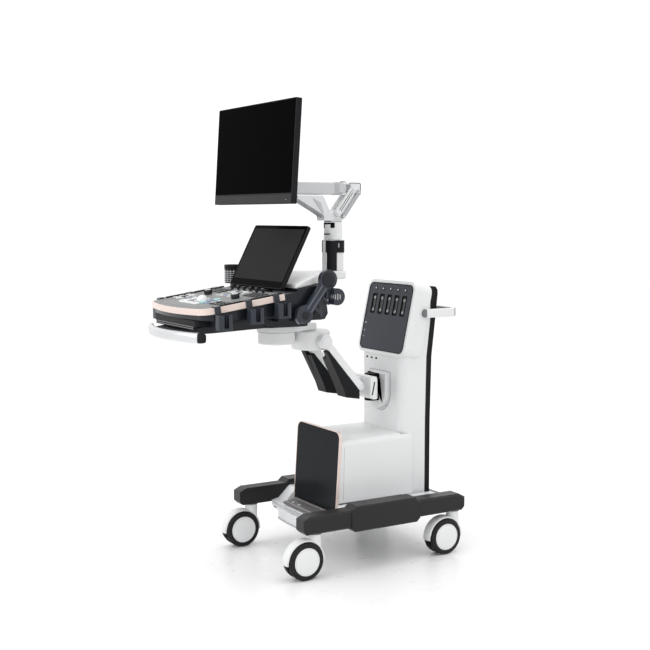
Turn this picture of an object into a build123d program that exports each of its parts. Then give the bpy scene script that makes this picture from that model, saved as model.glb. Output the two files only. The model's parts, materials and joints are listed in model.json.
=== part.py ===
from build123d import *
import os
from math import cos, radians, sin, tan

os.makedirs("parts", exist_ok=True)

# Ultrasound machine on a four-caster cart, in millimetres.
# Origin: on the floor, under the middle of the bounding box.
# +Z is up, -Y is towards the user, +X is the user's right.

# ---------------------------------------------------------------- driving sizes
# casters
wheel_r = 62.5
tyre_w = 20
hub_r = 46
axle_r = 6
caster_x = 223.5
caster_trail = 42
front_axis_y = -96
rear_axis_y = 464
stem_r = 10
running = 0.05

# cart
rail_in = 200
rail_out = 255
skirt_out = 262
rail_z0 = 150
rail_z1 = 210
rail_y0 = -152
rail_y1 = 498
deck_z = 192
housing_half = 141
shoulder_x = 143.5
housing_round = 22
housing_y0 = 46.8
housing_top = 420

# column
column_half = 130
column_y0 = 308
column_y1 = 411
head_tilt = 12
panel_w, panel_h = 270, 243
socket_pitch = 46

# console arm
yaw_y = 268
lower_y, lower_z = 168, 588
upper_y, upper_z = 28, 751
arm_in, arm_out = 35, 95
cheek_in = 68
arm_pin_r = 9
head_y, head_r = 20, 66
drum_y, drum_r = -112, 62
link_z0, link_z1 = 787, 809

# console
deck_tilt = 8
deck_y, deck_mid_z = -336, 909
console_half = 220
trim_w, trim_h = 6, 20
trim_end = 135
top_t = 8
drawer_half = 164
drawer_z0, drawer_z1 = 832, 851
cup_ys = (-425, -318, -222)
cup_drop, cup_h, cup_floor = 24, 46, 6
gel_x, gel_y, gel_r = -244, -150, 26

# touchscreen
touch_w, touch_h, touch_tilt = 365, 225, 27
touch_y, touch_z = -144, 1040
touch_pivot_y, touch_pivot_z = -168, 948

# monitor and its arm
post_y = 111
post_top = 1090
post_w, post_d = 58, 66
pan_r = 32
pan_top = 1154
bar_z0, bar_z1 = 1243, 1286
base_y, base_z = 117, 1180
elbow_y, elbow_z = 180, 1263
link_dy, link_dz = 24, -10
swing_y = 150
swivel_y = -118
monitor_w, monitor_h, monitor_tilt = 540, 325, 3.7
monitor_y, monitor_z = -196, 1372
tilt_y, tilt_z = -134, 1345
chin = 30

# ---------------------------------------------------------------- shared planes


def leaning_plane(y, z, tilt):
    """A plane that faces the user, with its top leaning back by tilt degrees."""
    normal = (0, -cos(radians(tilt)), sin(radians(tilt)))
    return Plane(origin=(0, y, z), x_dir=(1, 0, 0), z_dir=normal)


def deck_height(y):
    """Height of the console's working surface at depth y."""
    return deck_mid_z + (y - deck_y) * tan(radians(deck_tilt))


def outward(plane):
    """The axis along a plane's normal, for choosing the faces that lie furthest out."""
    return Axis((0, 0, 0), plane.z_dir)


def save(piece, label):
    """Label a finished piece and write it as its own STEP file."""
    piece.part.label = label
    export_step(piece.part, f"parts/{label}.step")


DECK = Plane(
    origin=(0, deck_y, deck_mid_z),
    x_dir=(1, 0, 0),
    z_dir=(0, -sin(radians(deck_tilt)), cos(radians(deck_tilt))),
)
HEAD = leaning_plane(332, 814, head_tilt)
FRONT = leaning_plane(43, 321, 3.6)
TOUCH = leaning_plane(touch_y, touch_z, touch_tilt)
MONITOR = leaning_plane(monitor_y, monitor_z, monitor_tilt)

# ---------------------------------------------------------------- casters


def build_caster(name, x, axis_y):
    """One twin-wheel caster: swivel fork with fender, two tyres and two hubs."""
    wheel_y = axis_y - caster_trail
    side = Plane.YZ.offset(x)
    with BuildPart() as fork:
        with BuildSketch(side.offset(-17)):
            with Locations((wheel_y, wheel_r)):
                Circle(wheel_r + 7)
                Circle(wheel_r + 2, mode=Mode.SUBTRACT)
            with Locations((wheel_y, wheel_r - 52)):
                Rectangle(160, 90, mode=Mode.SUBTRACT)
        extrude(amount=34)
        with BuildSketch(side.offset(-4)):
            with Locations((wheel_y, wheel_r)):
                Circle(wheel_r + 5)
            with Locations((wheel_y, wheel_r - 74)):
                Rectangle(160, 120, mode=Mode.SUBTRACT)
            with Locations((axis_y - 6, 112)):
                Rectangle(48, 40)
        extrude(amount=8)
        with BuildSketch(Plane.XY.offset(100)):
            with Locations((x, axis_y)):
                Circle(22)
        extrude(amount=49)
        with BuildSketch(side.offset(-40)):
            with Locations((wheel_y, wheel_r)):
                Circle(wheel_r + 1.9)
        extrude(amount=35, mode=Mode.SUBTRACT)
        with BuildSketch(side.offset(5)):
            with Locations((wheel_y, wheel_r)):
                Circle(wheel_r + 1.9)
        extrude(amount=35, mode=Mode.SUBTRACT)
        with BuildSketch(side.offset(-24)):
            with Locations((wheel_y, wheel_r)):
                Circle(axle_r)
        extrude(amount=48)
        with BuildSketch(Plane.XY.offset(149)):
            with Locations((x, axis_y)):
                Circle(stem_r)
        extrude(amount=22)
    save(fork, f"{name}_fork")

    with BuildPart() as tyres:
        for start in (-26, 6):
            with BuildSketch(side.offset(start)):
                with Locations((wheel_y, wheel_r)):
                    Circle(wheel_r)
                    Circle(hub_r, mode=Mode.SUBTRACT)
            extrude(amount=tyre_w)
        fillet(tyres.edges().filter_by(GeomType.CIRCLE).group_by(SortBy.RADIUS)[-1], 4)
    save(tyres, f"{name}_tyres")

    with BuildPart() as hubs:
        for start in (-25, 6.5):
            with BuildSketch(side.offset(start)):
                with Locations((wheel_y, wheel_r)):
                    Circle(hub_r)
                    Circle(axle_r + running, mode=Mode.SUBTRACT)
            extrude(amount=tyre_w - 1.5)
    save(hubs, f"{name}_hubs")


for side_name, side_x in (("right", caster_x), ("left", -caster_x)):
    build_caster(f"front_{side_name}", side_x, front_axis_y)
    build_caster(f"rear_{side_name}", side_x, rear_axis_y)

# ---------------------------------------------------------------- cart base


# The two rails have slanted ends, and a caster socket near each end.
with BuildPart() as side_rails:
    with BuildSketch(Plane.YZ.offset(rail_in)):
        with BuildLine():
            Polyline(
                (rail_y0, 162), (rail_y0 + 12, rail_z0), (rail_y1 - 12, rail_z0), (rail_y1, 162),
                (rail_y1, 196), (rail_y1 - 26, rail_z1), (rail_y0 + 26, rail_z1), (rail_y0, 198),
                close=True,
            )
        make_face()
    extrude(amount=rail_out - rail_in)
    chamfer(side_rails.edges().group_by(Axis.X)[-1], 6)
    with BuildSketch(Plane.XY.offset(rail_z0)):
        with Locations((caster_x, front_axis_y), (caster_x, rear_axis_y)):
            Circle(stem_r + running)
    extrude(amount=22, mode=Mode.SUBTRACT)
    mirror(about=Plane.YZ)
save(side_rails, "side_rails")

# A skirt wraps the middle of each rail on its outer three sides.
with BuildPart() as rail_skirts:
    with BuildSketch(Plane.YZ.offset(rail_in)):
        with BuildLine():
            Polyline(
                (26, 150), (40, 137), (289, 137), (303, 150), (303, 204), (284, 223), (48, 223), (26, 204),
                close=True,
            )
        make_face()
    extrude(amount=skirt_out - rail_in)
    chamfer(rail_skirts.edges().group_by(Axis.X)[-1], 5)
    with BuildSketch(Plane.XZ.offset(-400)):
        with Locations(((rail_in + rail_out) / 2, (rail_z0 + rail_z1) / 2)):
            Rectangle(rail_out - rail_in, rail_z1 - rail_z0)
    extrude(amount=500, mode=Mode.SUBTRACT)
    mirror(about=Plane.YZ)
save(rail_skirts, "rail_skirts")

with BuildPart() as chassis_frame:
    with BuildSketch(Plane.XY.offset(rail_z0)):
        with Locations((0, 258.25)):
            Rectangle(2 * rail_in, 423.5)
    extrude(amount=deck_z - rail_z0)
    fillet(chassis_frame.edges().filter_by(Axis.Z).group_by(Axis.Y)[-1], 30)
save(chassis_frame, "chassis_frame")

with BuildPart() as front_bumper:
    for half, z0, height in ((rail_in, 136, 13.8), (118, 106, 30)):
        with BuildSketch(Plane.XY.offset(z0)):
            with BuildLine():
                Line((rail_in, 80), (-rail_in, 80))
                Line((-rail_in, 80), (-rail_in, -25))
                ThreePointArc((-rail_in, -25), (0, -54), (rail_in, -25))
                Line((rail_in, -25), (rail_in, 80))
            make_face()
            Rectangle(2 * half, 200, mode=Mode.INTERSECT)
        extrude(amount=height)
    chamfer(front_bumper.edges().filter_by(GeomType.CIRCLE).group_by(Axis.Z)[0], 4)
save(front_bumper, "front_bumper")

# The deck is low in front of the computer housing, with a raised shoulder on each side of it.
with BuildPart() as deck_cover:
    with BuildSketch(Plane.YZ.offset(-rail_in + 0.5)):
        with BuildLine():
            Polyline((-25, 150.3), (-25, 156), (30, 168.5), (46.2, 168.5), (46.2, 150.3), close=True)
        make_face()
    extrude(amount=2 * rail_in - 1)
    for start in (shoulder_x, -rail_in + 0.5):
        with BuildSketch(Plane.YZ.offset(start)):
            with BuildLine():
                Polyline(
                    (-5, 155), (46, 202), (428, 202), (428, deck_z + 0.3), (46.2, deck_z + 0.3), (46.2, 155),
                    close=True,
                )
            make_face()
        extrude(amount=rail_in - 0.5 - shoulder_x)
save(deck_cover, "deck_cover")

pedal_half = 110
with BuildPart() as lock_pedal:
    with BuildSketch(Plane.YZ.offset(-pedal_half)):
        with BuildLine():
            Polyline((-27, 162), (-27, 168), (20, 179), (27, 178.5), (27, 171.5), close=True)
        make_face()
    extrude(amount=2 * pedal_half)
    fillet(lock_pedal.edges().filter_by(Axis.X).group_by(Axis.Y)[0], 2)
    with BuildSketch(Plane.YZ.offset(-pedal_half - 3)):
        with Locations((24, 175)):
            Circle(3)
    extrude(amount=2 * pedal_half + 6)
save(lock_pedal, "lock_pedal")

# ---------------------------------------------------------------- computer housing
with BuildPart() as pc_housing:
    with BuildSketch(Plane.YZ.offset(-housing_half)):
        with BuildLine():
            Polyline(
                (housing_y0, 202.3), (housing_y0 + 13.9, housing_top), (350, housing_top), (350, 202.3),
                close=True,
            )
        make_face()
    extrude(amount=2 * housing_half)
    fillet(pc_housing.edges().filter_by(Axis.Y).group_by(Axis.Z)[-1], housing_round)
    with BuildSketch(Plane.XY.offset(190)):
        with Locations((0, column_y0 + 60)):
            Rectangle(2 * column_half + 0.6, 120.6)
    extrude(amount=260, mode=Mode.SUBTRACT)
save(pc_housing, "pc_housing")



def panel_outline(margin):
    """Front panel outline, round at its two top corners, grown by a margin at the sides and top."""
    half = 139 + margin
    top = 125 + margin
    radius = 24 + margin
    with BuildLine() as outline:
        Line((-half, -150), (half, -150))
        Line((half, -150), (half, top - radius))
        TangentArc((half, top - radius), (half - radius, top), tangent=(0, 1))
        Line((half - radius, top), (-half + radius, top))
        TangentArc((-half, top - radius), (-half + radius, top), tangent=(0, 1))
        Line((-half, top - radius), (-half, -150))
    return outline.edges()


with BuildPart() as front_panel:
    with BuildSketch(FRONT.offset(-11)):
        make_face(panel_outline(0))
    extrude(amount=11)
    fillet(front_panel.faces().sort_by(outward(FRONT))[-1].edges(), 1.5)
save(front_panel, "front_panel")

with BuildPart() as front_trim:
    with BuildSketch(FRONT.offset(-11)):
        make_face(panel_outline(3.5))
        make_face(panel_outline(0), mode=Mode.SUBTRACT)
    extrude(amount=11)
save(front_trim, "front_trim")

# ---------------------------------------------------------------- column
with BuildPart() as column_cover:
    with BuildSketch(Plane.YZ.offset(-column_half)):
        with BuildLine():
            Polyline(
                (column_y0, deck_z + 0.3), (column_y0, 700), (column_y0 + 40, 880), (430, 880), (430, 808),
                (415, 680), (column_y1, 455), (column_y1, deck_z + 0.3),
                close=True,
            )
        make_face()
    extrude(amount=2 * column_half)
    front_edges = column_cover.edges().filter_by(Axis.Z).group_by(Axis.Y)[0]
    fillet(front_edges, 34)
    with BuildSketch(HEAD.offset(-72)):
        RectangleRounded(panel_w + 22, panel_h + 22, 32)
    extrude(amount=72)
    with BuildSketch(HEAD.offset(-6)):
        RectangleRounded(panel_w + 0.4, panel_h + 0.4, 22)
    extrude(amount=10, mode=Mode.SUBTRACT)
    with BuildSketch(HEAD.offset(-17)):
        with Locations((0, 45)):
            with GridLocations(socket_pitch, 1, 5, 1):
                Rectangle(26, 72)
    extrude(amount=12, mode=Mode.SUBTRACT)
    with BuildSketch(Plane.XZ.offset(-column_y0)):
        for port_x in (-84, -55, -26):
            with Locations((port_x, 666)):
                SlotOverall(13, 7)
    extrude(amount=-3, mode=Mode.SUBTRACT)
save(column_cover, "column_cover")

with BuildPart() as column_back:
    with BuildSketch(Plane.YZ.offset(-118)):
        with BuildLine():
            Polyline(
                (411.2, deck_z + 0.3), (441, deck_z + 0.3), (441, 455), (446, 680), (461, 808), (471, 900), (470, 914),
                (461, 925), (442, 927), (430.3, 878), (430.3, 808), (415.2, 680), (411.2, 455),
                close=True,
            )
        make_face()
    extrude(amount=236)
    with BuildSketch(HEAD.offset(-72.3)):
        RectangleRounded(panel_w + 23, panel_h + 23, 32)
    extrude(amount=72, mode=Mode.SUBTRACT)
    with BuildSketch(Plane.XZ.offset(-400)):
        with Locations((0, 236)):
            Rectangle(64.4, 44.4)
    extrude(amount=-70, mode=Mode.SUBTRACT)
save(column_back, "column_back")

with BuildPart() as port_panel:
    with BuildSketch(HEAD.offset(-6)):
        RectangleRounded(panel_w, panel_h, 22)
        with Locations((0, 45)):
            with GridLocations(socket_pitch, 1, 5, 1):
                Rectangle(26, 72, mode=Mode.SUBTRACT)
        with Locations((0, 100)):
            with GridLocations(socket_pitch, 1, 5, 1):
                Circle(7, mode=Mode.SUBTRACT)
    extrude(amount=6)
save(port_panel, "port_panel")

with BuildPart() as port_sockets:
    with BuildSketch(HEAD.offset(-17)):
        with Locations((0, 45)):
            with GridLocations(socket_pitch, 1, 5, 1):
                Rectangle(25.4, 71.4)
    extrude(amount=16)
    with BuildSketch(HEAD.offset(-4)):
        with Locations((0, 45)):
            with GridLocations(socket_pitch, 1, 5, 1):
                SlotOverall(58, 13, rotation=90)
    extrude(amount=10, mode=Mode.SUBTRACT)
    with BuildSketch(HEAD.offset(-6)):
        with Locations((0, 100)):
            with GridLocations(socket_pitch, 1, 5, 1):
                Circle(6.7)
    extrude(amount=7)
save(port_sockets, "port_sockets")

with BuildPart() as power_module:
    with BuildSketch(Plane.XZ.offset(-412)):
        with Locations((0, 236)):
            RectangleRounded(64, 44, 4)
    extrude(amount=-31)
    with BuildSketch(Plane.XZ.offset(-424)):
        with Locations((-12, 236)):
            Rectangle(27, 20)
    extrude(amount=-20, mode=Mode.SUBTRACT)
    with BuildSketch(Plane.XZ.offset(-442)):
        with Locations((20, 236)):
            RectangleRounded(12, 22, 2)
    extrude(amount=-4)
save(power_module, "power_module")

with BuildPart() as rear_handle:
    with BuildSketch(Plane.XY.offset(820)):
        with Locations((0, 429)):
            RectangleRounded(324, 222, 44)
            RectangleRounded(292.4, 190, 30, mode=Mode.SUBTRACT)
        with Locations((0, 353)):
            Rectangle(340, 84, mode=Mode.SUBTRACT)
    extrude(amount=30)
    fillet(rear_handle.edges().filter_by(Axis.Z, reverse=True), 4)
save(rear_handle, "rear_handle")

# ---------------------------------------------------------------- console arm
with BuildPart() as arm_mount:
    with BuildSketch(Plane.XZ.offset(-290)):
        with BuildLine():
            Line((-57, 620), (57, 620))
            Line((57, 620), (57, 548))
            ThreePointArc((57, 548), (0, 491), (-57, 548))
            Line((-57, 548), (-57, 620))
        make_face()
    extrude(amount=-17.8)
    for lug_z in (522, 602):
        with BuildSketch(Plane.XY.offset(lug_z)):
            with Locations((0, yaw_y)):
                Circle(22)
            with Locations((0, yaw_y + 12)):
                Rectangle(44, 24)
        extrude(amount=16)
    with BuildSketch(Plane.XY.offset(530)):
        with Locations((0, yaw_y)):
            Circle(8)
    extrude(amount=80)
save(arm_mount, "arm_mount")

with BuildPart() as arm_knuckle:
    with BuildSketch(Plane.YZ.offset(-92)):
        with BuildLine():
            Polyline((206, 552), (218, 540), (243, 540), (243, 606), (232, 618), (206, 618), close=True)
        make_face()
    extrude(amount=184)
    chamfer(arm_knuckle.edges().filter_by(Axis.Z).group_by(Axis.Y)[-1], 12)
    with BuildSketch(Plane.XY.offset(539)):
        with Locations((0, yaw_y)):
            Circle(20)
        with Locations((0, 250)):
            Rectangle(30, 26)
    extrude(amount=62)
    with BuildSketch(Plane.XY.offset(500)):
        with Locations((0, yaw_y)):
            Circle(8 + running)
    extrude(amount=140, mode=Mode.SUBTRACT)
    with BuildSketch(Plane.YZ.offset(-32)):
        with Locations((lower_y, lower_z)):
            Circle(24)
        with Locations((lower_y + 22, lower_z)):
            Rectangle(44, 48)
    extrude(amount=64)
    with BuildSketch(Plane.YZ.offset(-91)):
        with Locations((lower_y, lower_z)):
            Circle(arm_pin_r)
    extrude(amount=182)
save(arm_knuckle, "arm_knuckle")

arm_dy = 0.651
arm_dz = -0.759


def arm_point(along, above):
    """A point of the arm's side profile, from the upper pivot, along the arm and square to it."""
    y = upper_y + along * arm_dy - above * arm_dz
    z = upper_z + along * arm_dz + above * arm_dy
    return (y, z)


def shell_outline(start):
    """Side profile of an arm's white top shell, from a distance along the arm to its round lower end."""
    with BuildLine() as outline:
        Line(arm_point(start, 12.5), arm_point(215, 12.5))
        ThreePointArc(arm_point(215, 12.5), arm_point(227.6, -0.1), arm_point(215, -12.7))
        Line(arm_point(215, -12.7), arm_point(start, -12.7))
        Line(arm_point(start, -12.7), arm_point(start, 12.5))
    make_face(outline.edges())


def cover_outline(start):
    """Side profile of an arm's black lower cover, deepest near the column."""
    depth_at_start = -17 - 0.16 * start
    with BuildLine() as outline:
        Polyline(
            arm_point(start, -13), arm_point(219, -13), (161, 547), (107, 556), (95, 589),
            arm_point(start, depth_at_start),
            close=True,
        )
    make_face(outline.edges())


with BuildPart() as lift_arm_shells:
    with BuildSketch(Plane.YZ.offset(cheek_in)):
        shell_outline(0)
        with Locations((upper_y, upper_z)):
            Circle(24)
        for pivot in ((upper_y, upper_z), (lower_y, lower_z)):
            with Locations(pivot):
                Circle(arm_pin_r + running, mode=Mode.SUBTRACT)
    extrude(amount=arm_out - cheek_in)
    fillet(lift_arm_shells.faces().sort_by(Axis.X)[-1].outer_wire().edges(), 3)
    with BuildSketch(Plane.YZ.offset(arm_in)):
        shell_outline(58)
        with Locations((lower_y, lower_z)):
            Circle(arm_pin_r + running, mode=Mode.SUBTRACT)
    extrude(amount=cheek_in - arm_in)
    mirror(about=Plane.YZ)
save(lift_arm_shells, "lift_arm_shells")

with BuildPart() as lift_arm_covers:
    with BuildSketch(Plane.YZ.offset(cheek_in)):
        cover_outline(27)
        with Locations((upper_y, upper_z)):
            Circle(24.3, mode=Mode.SUBTRACT)
    extrude(amount=arm_out - 1 - cheek_in)
    with BuildSketch(Plane.YZ.offset(arm_in + 1)):
        cover_outline(58)
    extrude(amount=cheek_in - arm_in - 1)
    mirror(about=Plane.YZ)
save(lift_arm_covers, "lift_arm_covers")

with BuildPart() as arm_head:
    with BuildSketch(Plane.XY.offset(720)):
        with Locations((0, head_y)):
            Circle(head_r)
    extrude(amount=65)
    fillet(arm_head.edges(), 5)
    with BuildSketch(Plane.XY.offset(762)):
        with Locations((0, head_y)):
            Circle(12 + running)
    extrude(amount=30, mode=Mode.SUBTRACT)
    for start in (55, -92):
        with BuildSketch(Plane.YZ.offset(start)):
            with Locations((upper_y, upper_z)):
                Circle(arm_pin_r)
        extrude(amount=37)
save(arm_head, "arm_head")

with BuildPart() as swivel_link:
    with BuildSketch(Plane.XY.offset(link_z0)):
        with Locations((0, drum_y)):
            Circle(drum_r + 4)
        with Locations((0, head_y)):
            Circle(21)
        make_hull()
    extrude(amount=link_z1 - link_z0)
    fillet(swivel_link.faces().sort_by(Axis.Z)[-1].edges(), 4)
    with BuildSketch(Plane.XY.offset(745)):
        with Locations((0, drum_y)):
            Circle(drum_r)
    extrude(amount=link_z0 - 745)
    fillet(swivel_link.faces().sort_by(Axis.Z)[0].edges(), 5)
    with BuildSketch(Plane.XY.offset(764)):
        with Locations((0, head_y)):
            Circle(12)
    extrude(amount=link_z0 - 764)
    with BuildSketch(Plane.XY.offset(link_z1)):
        with Locations((0, drum_y)):
            Circle(20)
    extrude(amount=25)
save(swivel_link, "swivel_link")

# ---------------------------------------------------------------- console


def deck_outline(inset):
    """Plan of the console's working surface, drawn on the sloping deck plane."""
    half = console_half - inset
    corner = half - 52
    corner_y = -151 + inset
    with BuildLine() as outline:
        Line((half, trim_end), (-half, trim_end))
        Line((-half, trim_end), (-half, -92))
        TangentArc((-half, -92), (-corner, corner_y), tangent=(0, -1))
        ThreePointArc((-corner, corner_y), (0, -168 + inset), (corner, corner_y))
        TangentArc((half, -92), (corner, corner_y), tangent=(0, -1))
        Line((half, -92), (half, trim_end))
    make_face(outline.edges())


key_gap = 0.6
key_blocks = (
    # centre x, centre v, columns, rows, pitch x, pitch v, key width, key depth
    (-128, 80, 4, 3, 22, 18, 17, 13),
    (128, 80, 4, 3, 22, 18, 17, 13),
    (0, 88, 5, 2, 24, 20, 19, 14),
    (0, -95, 3, 1, 46, 20, 40, 15),
    (-58, -48, 1, 3, 26, 26, 20, 20),
    (58, -48, 1, 3, 26, 26, 20, 20),
    (-150, -40, 3, 3, 26, 24, 18, 15),
    (150, -60, 3, 2, 26, 24, 18, 15),
)
ball_v = -48
ball_r = 20
knob_places = {"left_knob": (-100, 22), "right_knob": (112, 16)}
toggle_v = 117
toggle_pitch = 44


def key_outlines(grow):
    """Every key's outline in its block, grown by a margin for the openings."""
    for x, v, columns, rows, pitch_x, pitch_v, width, depth in key_blocks:
        with Locations((x, v)):
            with GridLocations(pitch_x, pitch_v, columns, rows):
                Rectangle(width + grow, depth + grow)


with BuildPart() as console_top:
    with BuildSketch(DECK.offset(-top_t)):
        deck_outline(trim_w)
    extrude(amount=top_t)
    with BuildSketch(DECK.offset(-top_t)):
        key_outlines(2 * key_gap)
        with Locations((0, ball_v)):
            Circle(ball_r + 0.8)
        with Locations(*knob_places.values()):
            Circle(3 + running)
        with Locations((0, toggle_v)):
            with GridLocations(toggle_pitch, 1, 6, 1):
                Rectangle(14, 16)
    extrude(amount=top_t, mode=Mode.SUBTRACT)
save(console_top, "console_top")

with BuildPart() as console_trim:
    with BuildSketch(DECK.offset(-trim_h)):
        deck_outline(0)
        with Locations((0, trim_end)):
            Rectangle(2 * (console_half - trim_w), 20, mode=Mode.SUBTRACT)
    extrude(amount=trim_h)
    with BuildSketch(DECK.offset(-trim_h)):
        deck_outline(trim_w)
    extrude(amount=trim_h, mode=Mode.SUBTRACT)
save(console_trim, "console_trim")

with BuildPart() as handle_side:
    with BuildSketch(Plane.YZ.offset(-130)):
        with BuildLine():
            Polyline(
                (-223, 825), (-430, 825), (-520, 813), (-520, 791), (-430, 804), (-223, 812),
                close=True,
            )
        make_face()
    extrude(amount=260)

with BuildPart() as handle_support:
    with BuildSketch(Plane.XY.offset(780)):
        with BuildLine():
            Line((116, -222.4), (-116, -222.4))
            Line((-116, -222.4), (-116, -400))
            Line((-116, -400), (-96, -503))
            ThreePointArc((-96, -503), (0, -513.7), (96, -503))
            Line((96, -503), (116, -400))
            Line((116, -400), (116, -222.4))
        make_face()
    extrude(amount=60)
    add(handle_side.part, mode=Mode.INTERSECT)

with BuildPart() as tub_side:
    with BuildSketch(Plane.YZ.offset(-240)):
        with BuildLine():
            Polyline(
                (-520, 853), (-520, deck_height(-520) - 8.08), (-201, deck_height(-201) - 8.08), (-201, 925),
                (-152, 933), (-150, 939), (-77, 951), (-5, 952), (-5, 868), (-42, 840), (-222, 840), (-222, 853),
                close=True,
            )
        make_face()
    extrude(amount=480)

with BuildPart() as console_tub:
    with BuildSketch(DECK.offset(-130)):
        deck_outline(trim_w + 0.3)
        with BuildLine():
            Polyline(
                (-213.7, 130), (-213.7, 258), (-182, 305), (-60, 330),
                (60, 330), (182, 305), (213.7, 258), (213.7, 130),
                close=True,
            )
        make_face()
    extrude(amount=160)
    add(tub_side.part, mode=Mode.INTERSECT)
    with BuildSketch(Plane.XY.offset(811)):
        with Locations((0, -132)):
            RectangleRounded(236, 180, 40)
    extrude(amount=32)
    with BuildSketch(Plane.XY.offset(800)):
        with Locations((0, drum_y)):
            Circle(20 + running)
    extrude(amount=37, mode=Mode.SUBTRACT)
    for sign in (1, -1):
        with BuildSketch(Plane.XZ.offset(225)):
            with Locations((sign * 171.5, 840)):
                Rectangle(12, 28)
            with Locations((sign * 166.5, 828.6)):
                Rectangle(17, 5.2)
        extrude(amount=212)
        with BuildSketch(Plane.YZ.offset(sign * 55 - 5)):
            with Locations((touch_pivot_y, touch_pivot_z)):
                Circle(7.5)
            with Locations((touch_pivot_y, touch_pivot_z - 11)):
                Rectangle(15, 22)
        extrude(amount=10)
        with BuildSketch(Plane.YZ.offset(sign * 44 - 9)):
            with Locations((touch_pivot_y, touch_pivot_z)):
                Circle(3.5)
        extrude(amount=18)
    with BuildSketch(DECK.offset(-40)):
        with Locations((0, ball_v)):
            Circle(ball_r + 2)
    extrude(amount=40, mode=Mode.SUBTRACT)
    add(handle_support.part)
save(console_tub, "console_tub")

with BuildPart() as hood_side:
    with BuildSketch(Plane.YZ.offset(-240)):
        with BuildLine():
            Polyline(
                (-150, 939.5), (-150, 952), (-118, 968), (-60, 984.7), (160, 984.7), (160, 958), (-5, 952.2),
                (-77, 951.2),
                close=True,
            )
        make_face()
    extrude(amount=480)

with BuildPart() as console_hood:
    with BuildSketch(Plane.XY.offset(930)):
        with BuildLine():
            Polyline(
                (-200, -152), (-200, -90), (-168, -45), (-60, 30), (-40, 60), (-40, post_y),
                (40, post_y), (40, 60), (60, 30), (168, -45), (200, -90), (200, -152),
                close=True,
            )
        make_face()
        with Locations((0, post_y)):
            Circle(44)
    extrude(amount=60)
    add(hood_side.part, mode=Mode.INTERSECT)
save(console_hood, "console_hood")

with BuildPart() as trackball:
    with BuildSketch(DECK.offset(-4)):
        with Locations((0, ball_v)):
            Circle(ball_r)
            Rectangle(2 * ball_r, ball_r, align=(Align.CENTER, Align.MAX), mode=Mode.SUBTRACT)
    revolve(axis=Axis(DECK.offset(-4).from_local_coords(Vector(0, ball_v, 0)), DECK.x_dir), revolution_arc=360)
save(trackball, "trackball")

with BuildPart() as control_keys:
    with BuildSketch(DECK.offset(-6)):
        key_outlines(0)
    extrude(amount=8.4)
    fillet(control_keys.faces().group_by(outward(DECK))[-1].edges(), 0.8)
save(control_keys, "control_keys")

for knob_name, knob_place in knob_places.items():
    with BuildPart() as knob:
        with BuildSketch(DECK.offset(1)):
            with Locations(knob_place):
                Circle(14)
        extrude(amount=15)
        fillet(knob.edges(), 1.5)
        with BuildSketch(DECK.offset(-7)):
            with Locations(knob_place):
                Circle(3)
        extrude(amount=9)
    save(knob, knob_name)

with BuildPart() as toggles:
    with BuildSketch(DECK.offset(-3.5)):
        with Locations((0, toggle_v)):
            with GridLocations(toggle_pitch, 1, 6, 1):
                Rectangle(11, 6)
    extrude(amount=18)
    toggle_axis = DECK.from_local_coords(Vector(0, toggle_v, -1))
    for index in range(6):
        with BuildSketch(Plane.YZ.offset((index - 2.5) * toggle_pitch - 6.7)):
            with Locations((toggle_axis.Y, toggle_axis.Z)):
                Circle(2)
        extrude(amount=13.4)
save(toggles, "toggles")


# Open cups hang under the trim on both sides, each from a strap that hooks over the trim.
with BuildPart() as probe_holders:
    for cup_y in cup_ys:
        cup_top = deck_height(cup_y) - cup_drop
        with BuildSketch(Plane.XY.offset(cup_top - cup_h)):
            with Locations((243, cup_y)):
                RectangleRounded(38, 48, 10)
        extrude(amount=cup_h)
        with BuildSketch(Plane.XY.offset(cup_top - cup_h + cup_floor)):
            with Locations((243, cup_y)):
                RectangleRounded(30, 40, 7)
            with Locations((260, cup_y)):
                Rectangle(10, 16)
        extrude(amount=cup_h, mode=Mode.SUBTRACT)
        strap_v = (cup_y - deck_y) / cos(radians(deck_tilt))
        with BuildSketch(DECK.offset(-50)):
            with Locations((222.2, strap_v - 12)):
                Rectangle(4, 20)
        extrude(amount=54)
        with BuildSketch(DECK.offset(0.2)):
            with Locations((213, strap_v - 12)):
                Rectangle(22.4, 20)
        extrude(amount=3.8)
    mirror(about=Plane.YZ)
save(probe_holders, "probe_holders")

with BuildPart() as gel_cup:
    for cup_z, height, radius in ((938, 48, gel_r + 3), (986, 16, gel_r + 5)):
        with BuildSketch(Plane.XY.offset(cup_z)):
            with Locations((gel_x, gel_y)):
                Circle(radius)
        extrude(amount=height)
    with BuildSketch(Plane.XY.offset(942)):
        with Locations((gel_x, gel_y)):
            Circle(gel_r)
    extrude(amount=70, mode=Mode.SUBTRACT)
    with BuildSketch(Plane.XY.offset(900)):
        with Locations(((gel_x - 214) / 2, gel_y)):
            Rectangle(-214 - gel_x, 24)
    extrude(amount=38)
save(gel_cup, "gel_cup")

with BuildPart() as keyboard_drawer:
    with BuildSketch(Plane.XY.offset(drawer_z0)):
        with Locations((0, -357)):
            RectangleRounded(2 * drawer_half - 2, 250, 14)
    extrude(amount=drawer_z1 - drawer_z0)
    fillet(keyboard_drawer.edges().group_by(Axis.Z)[-1], 1.5)
    with BuildSketch(Plane.XY.offset(drawer_z0 - 11)):
        with Locations((0, -477)):
            RectangleRounded(2 * drawer_half - 30, 10, 4)
    extrude(amount=14)
    with BuildSketch(Plane.XY.offset(845)):
        with Locations((0, -372)):
            Rectangle(300, 124)
    extrude(amount=10, mode=Mode.SUBTRACT)
save(keyboard_drawer, "keyboard_drawer")

with BuildPart() as keyboard_keys:
    with BuildSketch(Plane.XY.offset(846.4)):
        with Locations((0, -372)):
            with GridLocations(21, 20, 14, 6):
                Rectangle(18, 17)
    extrude(amount=4)
save(keyboard_keys, "keyboard_keys")

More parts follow.
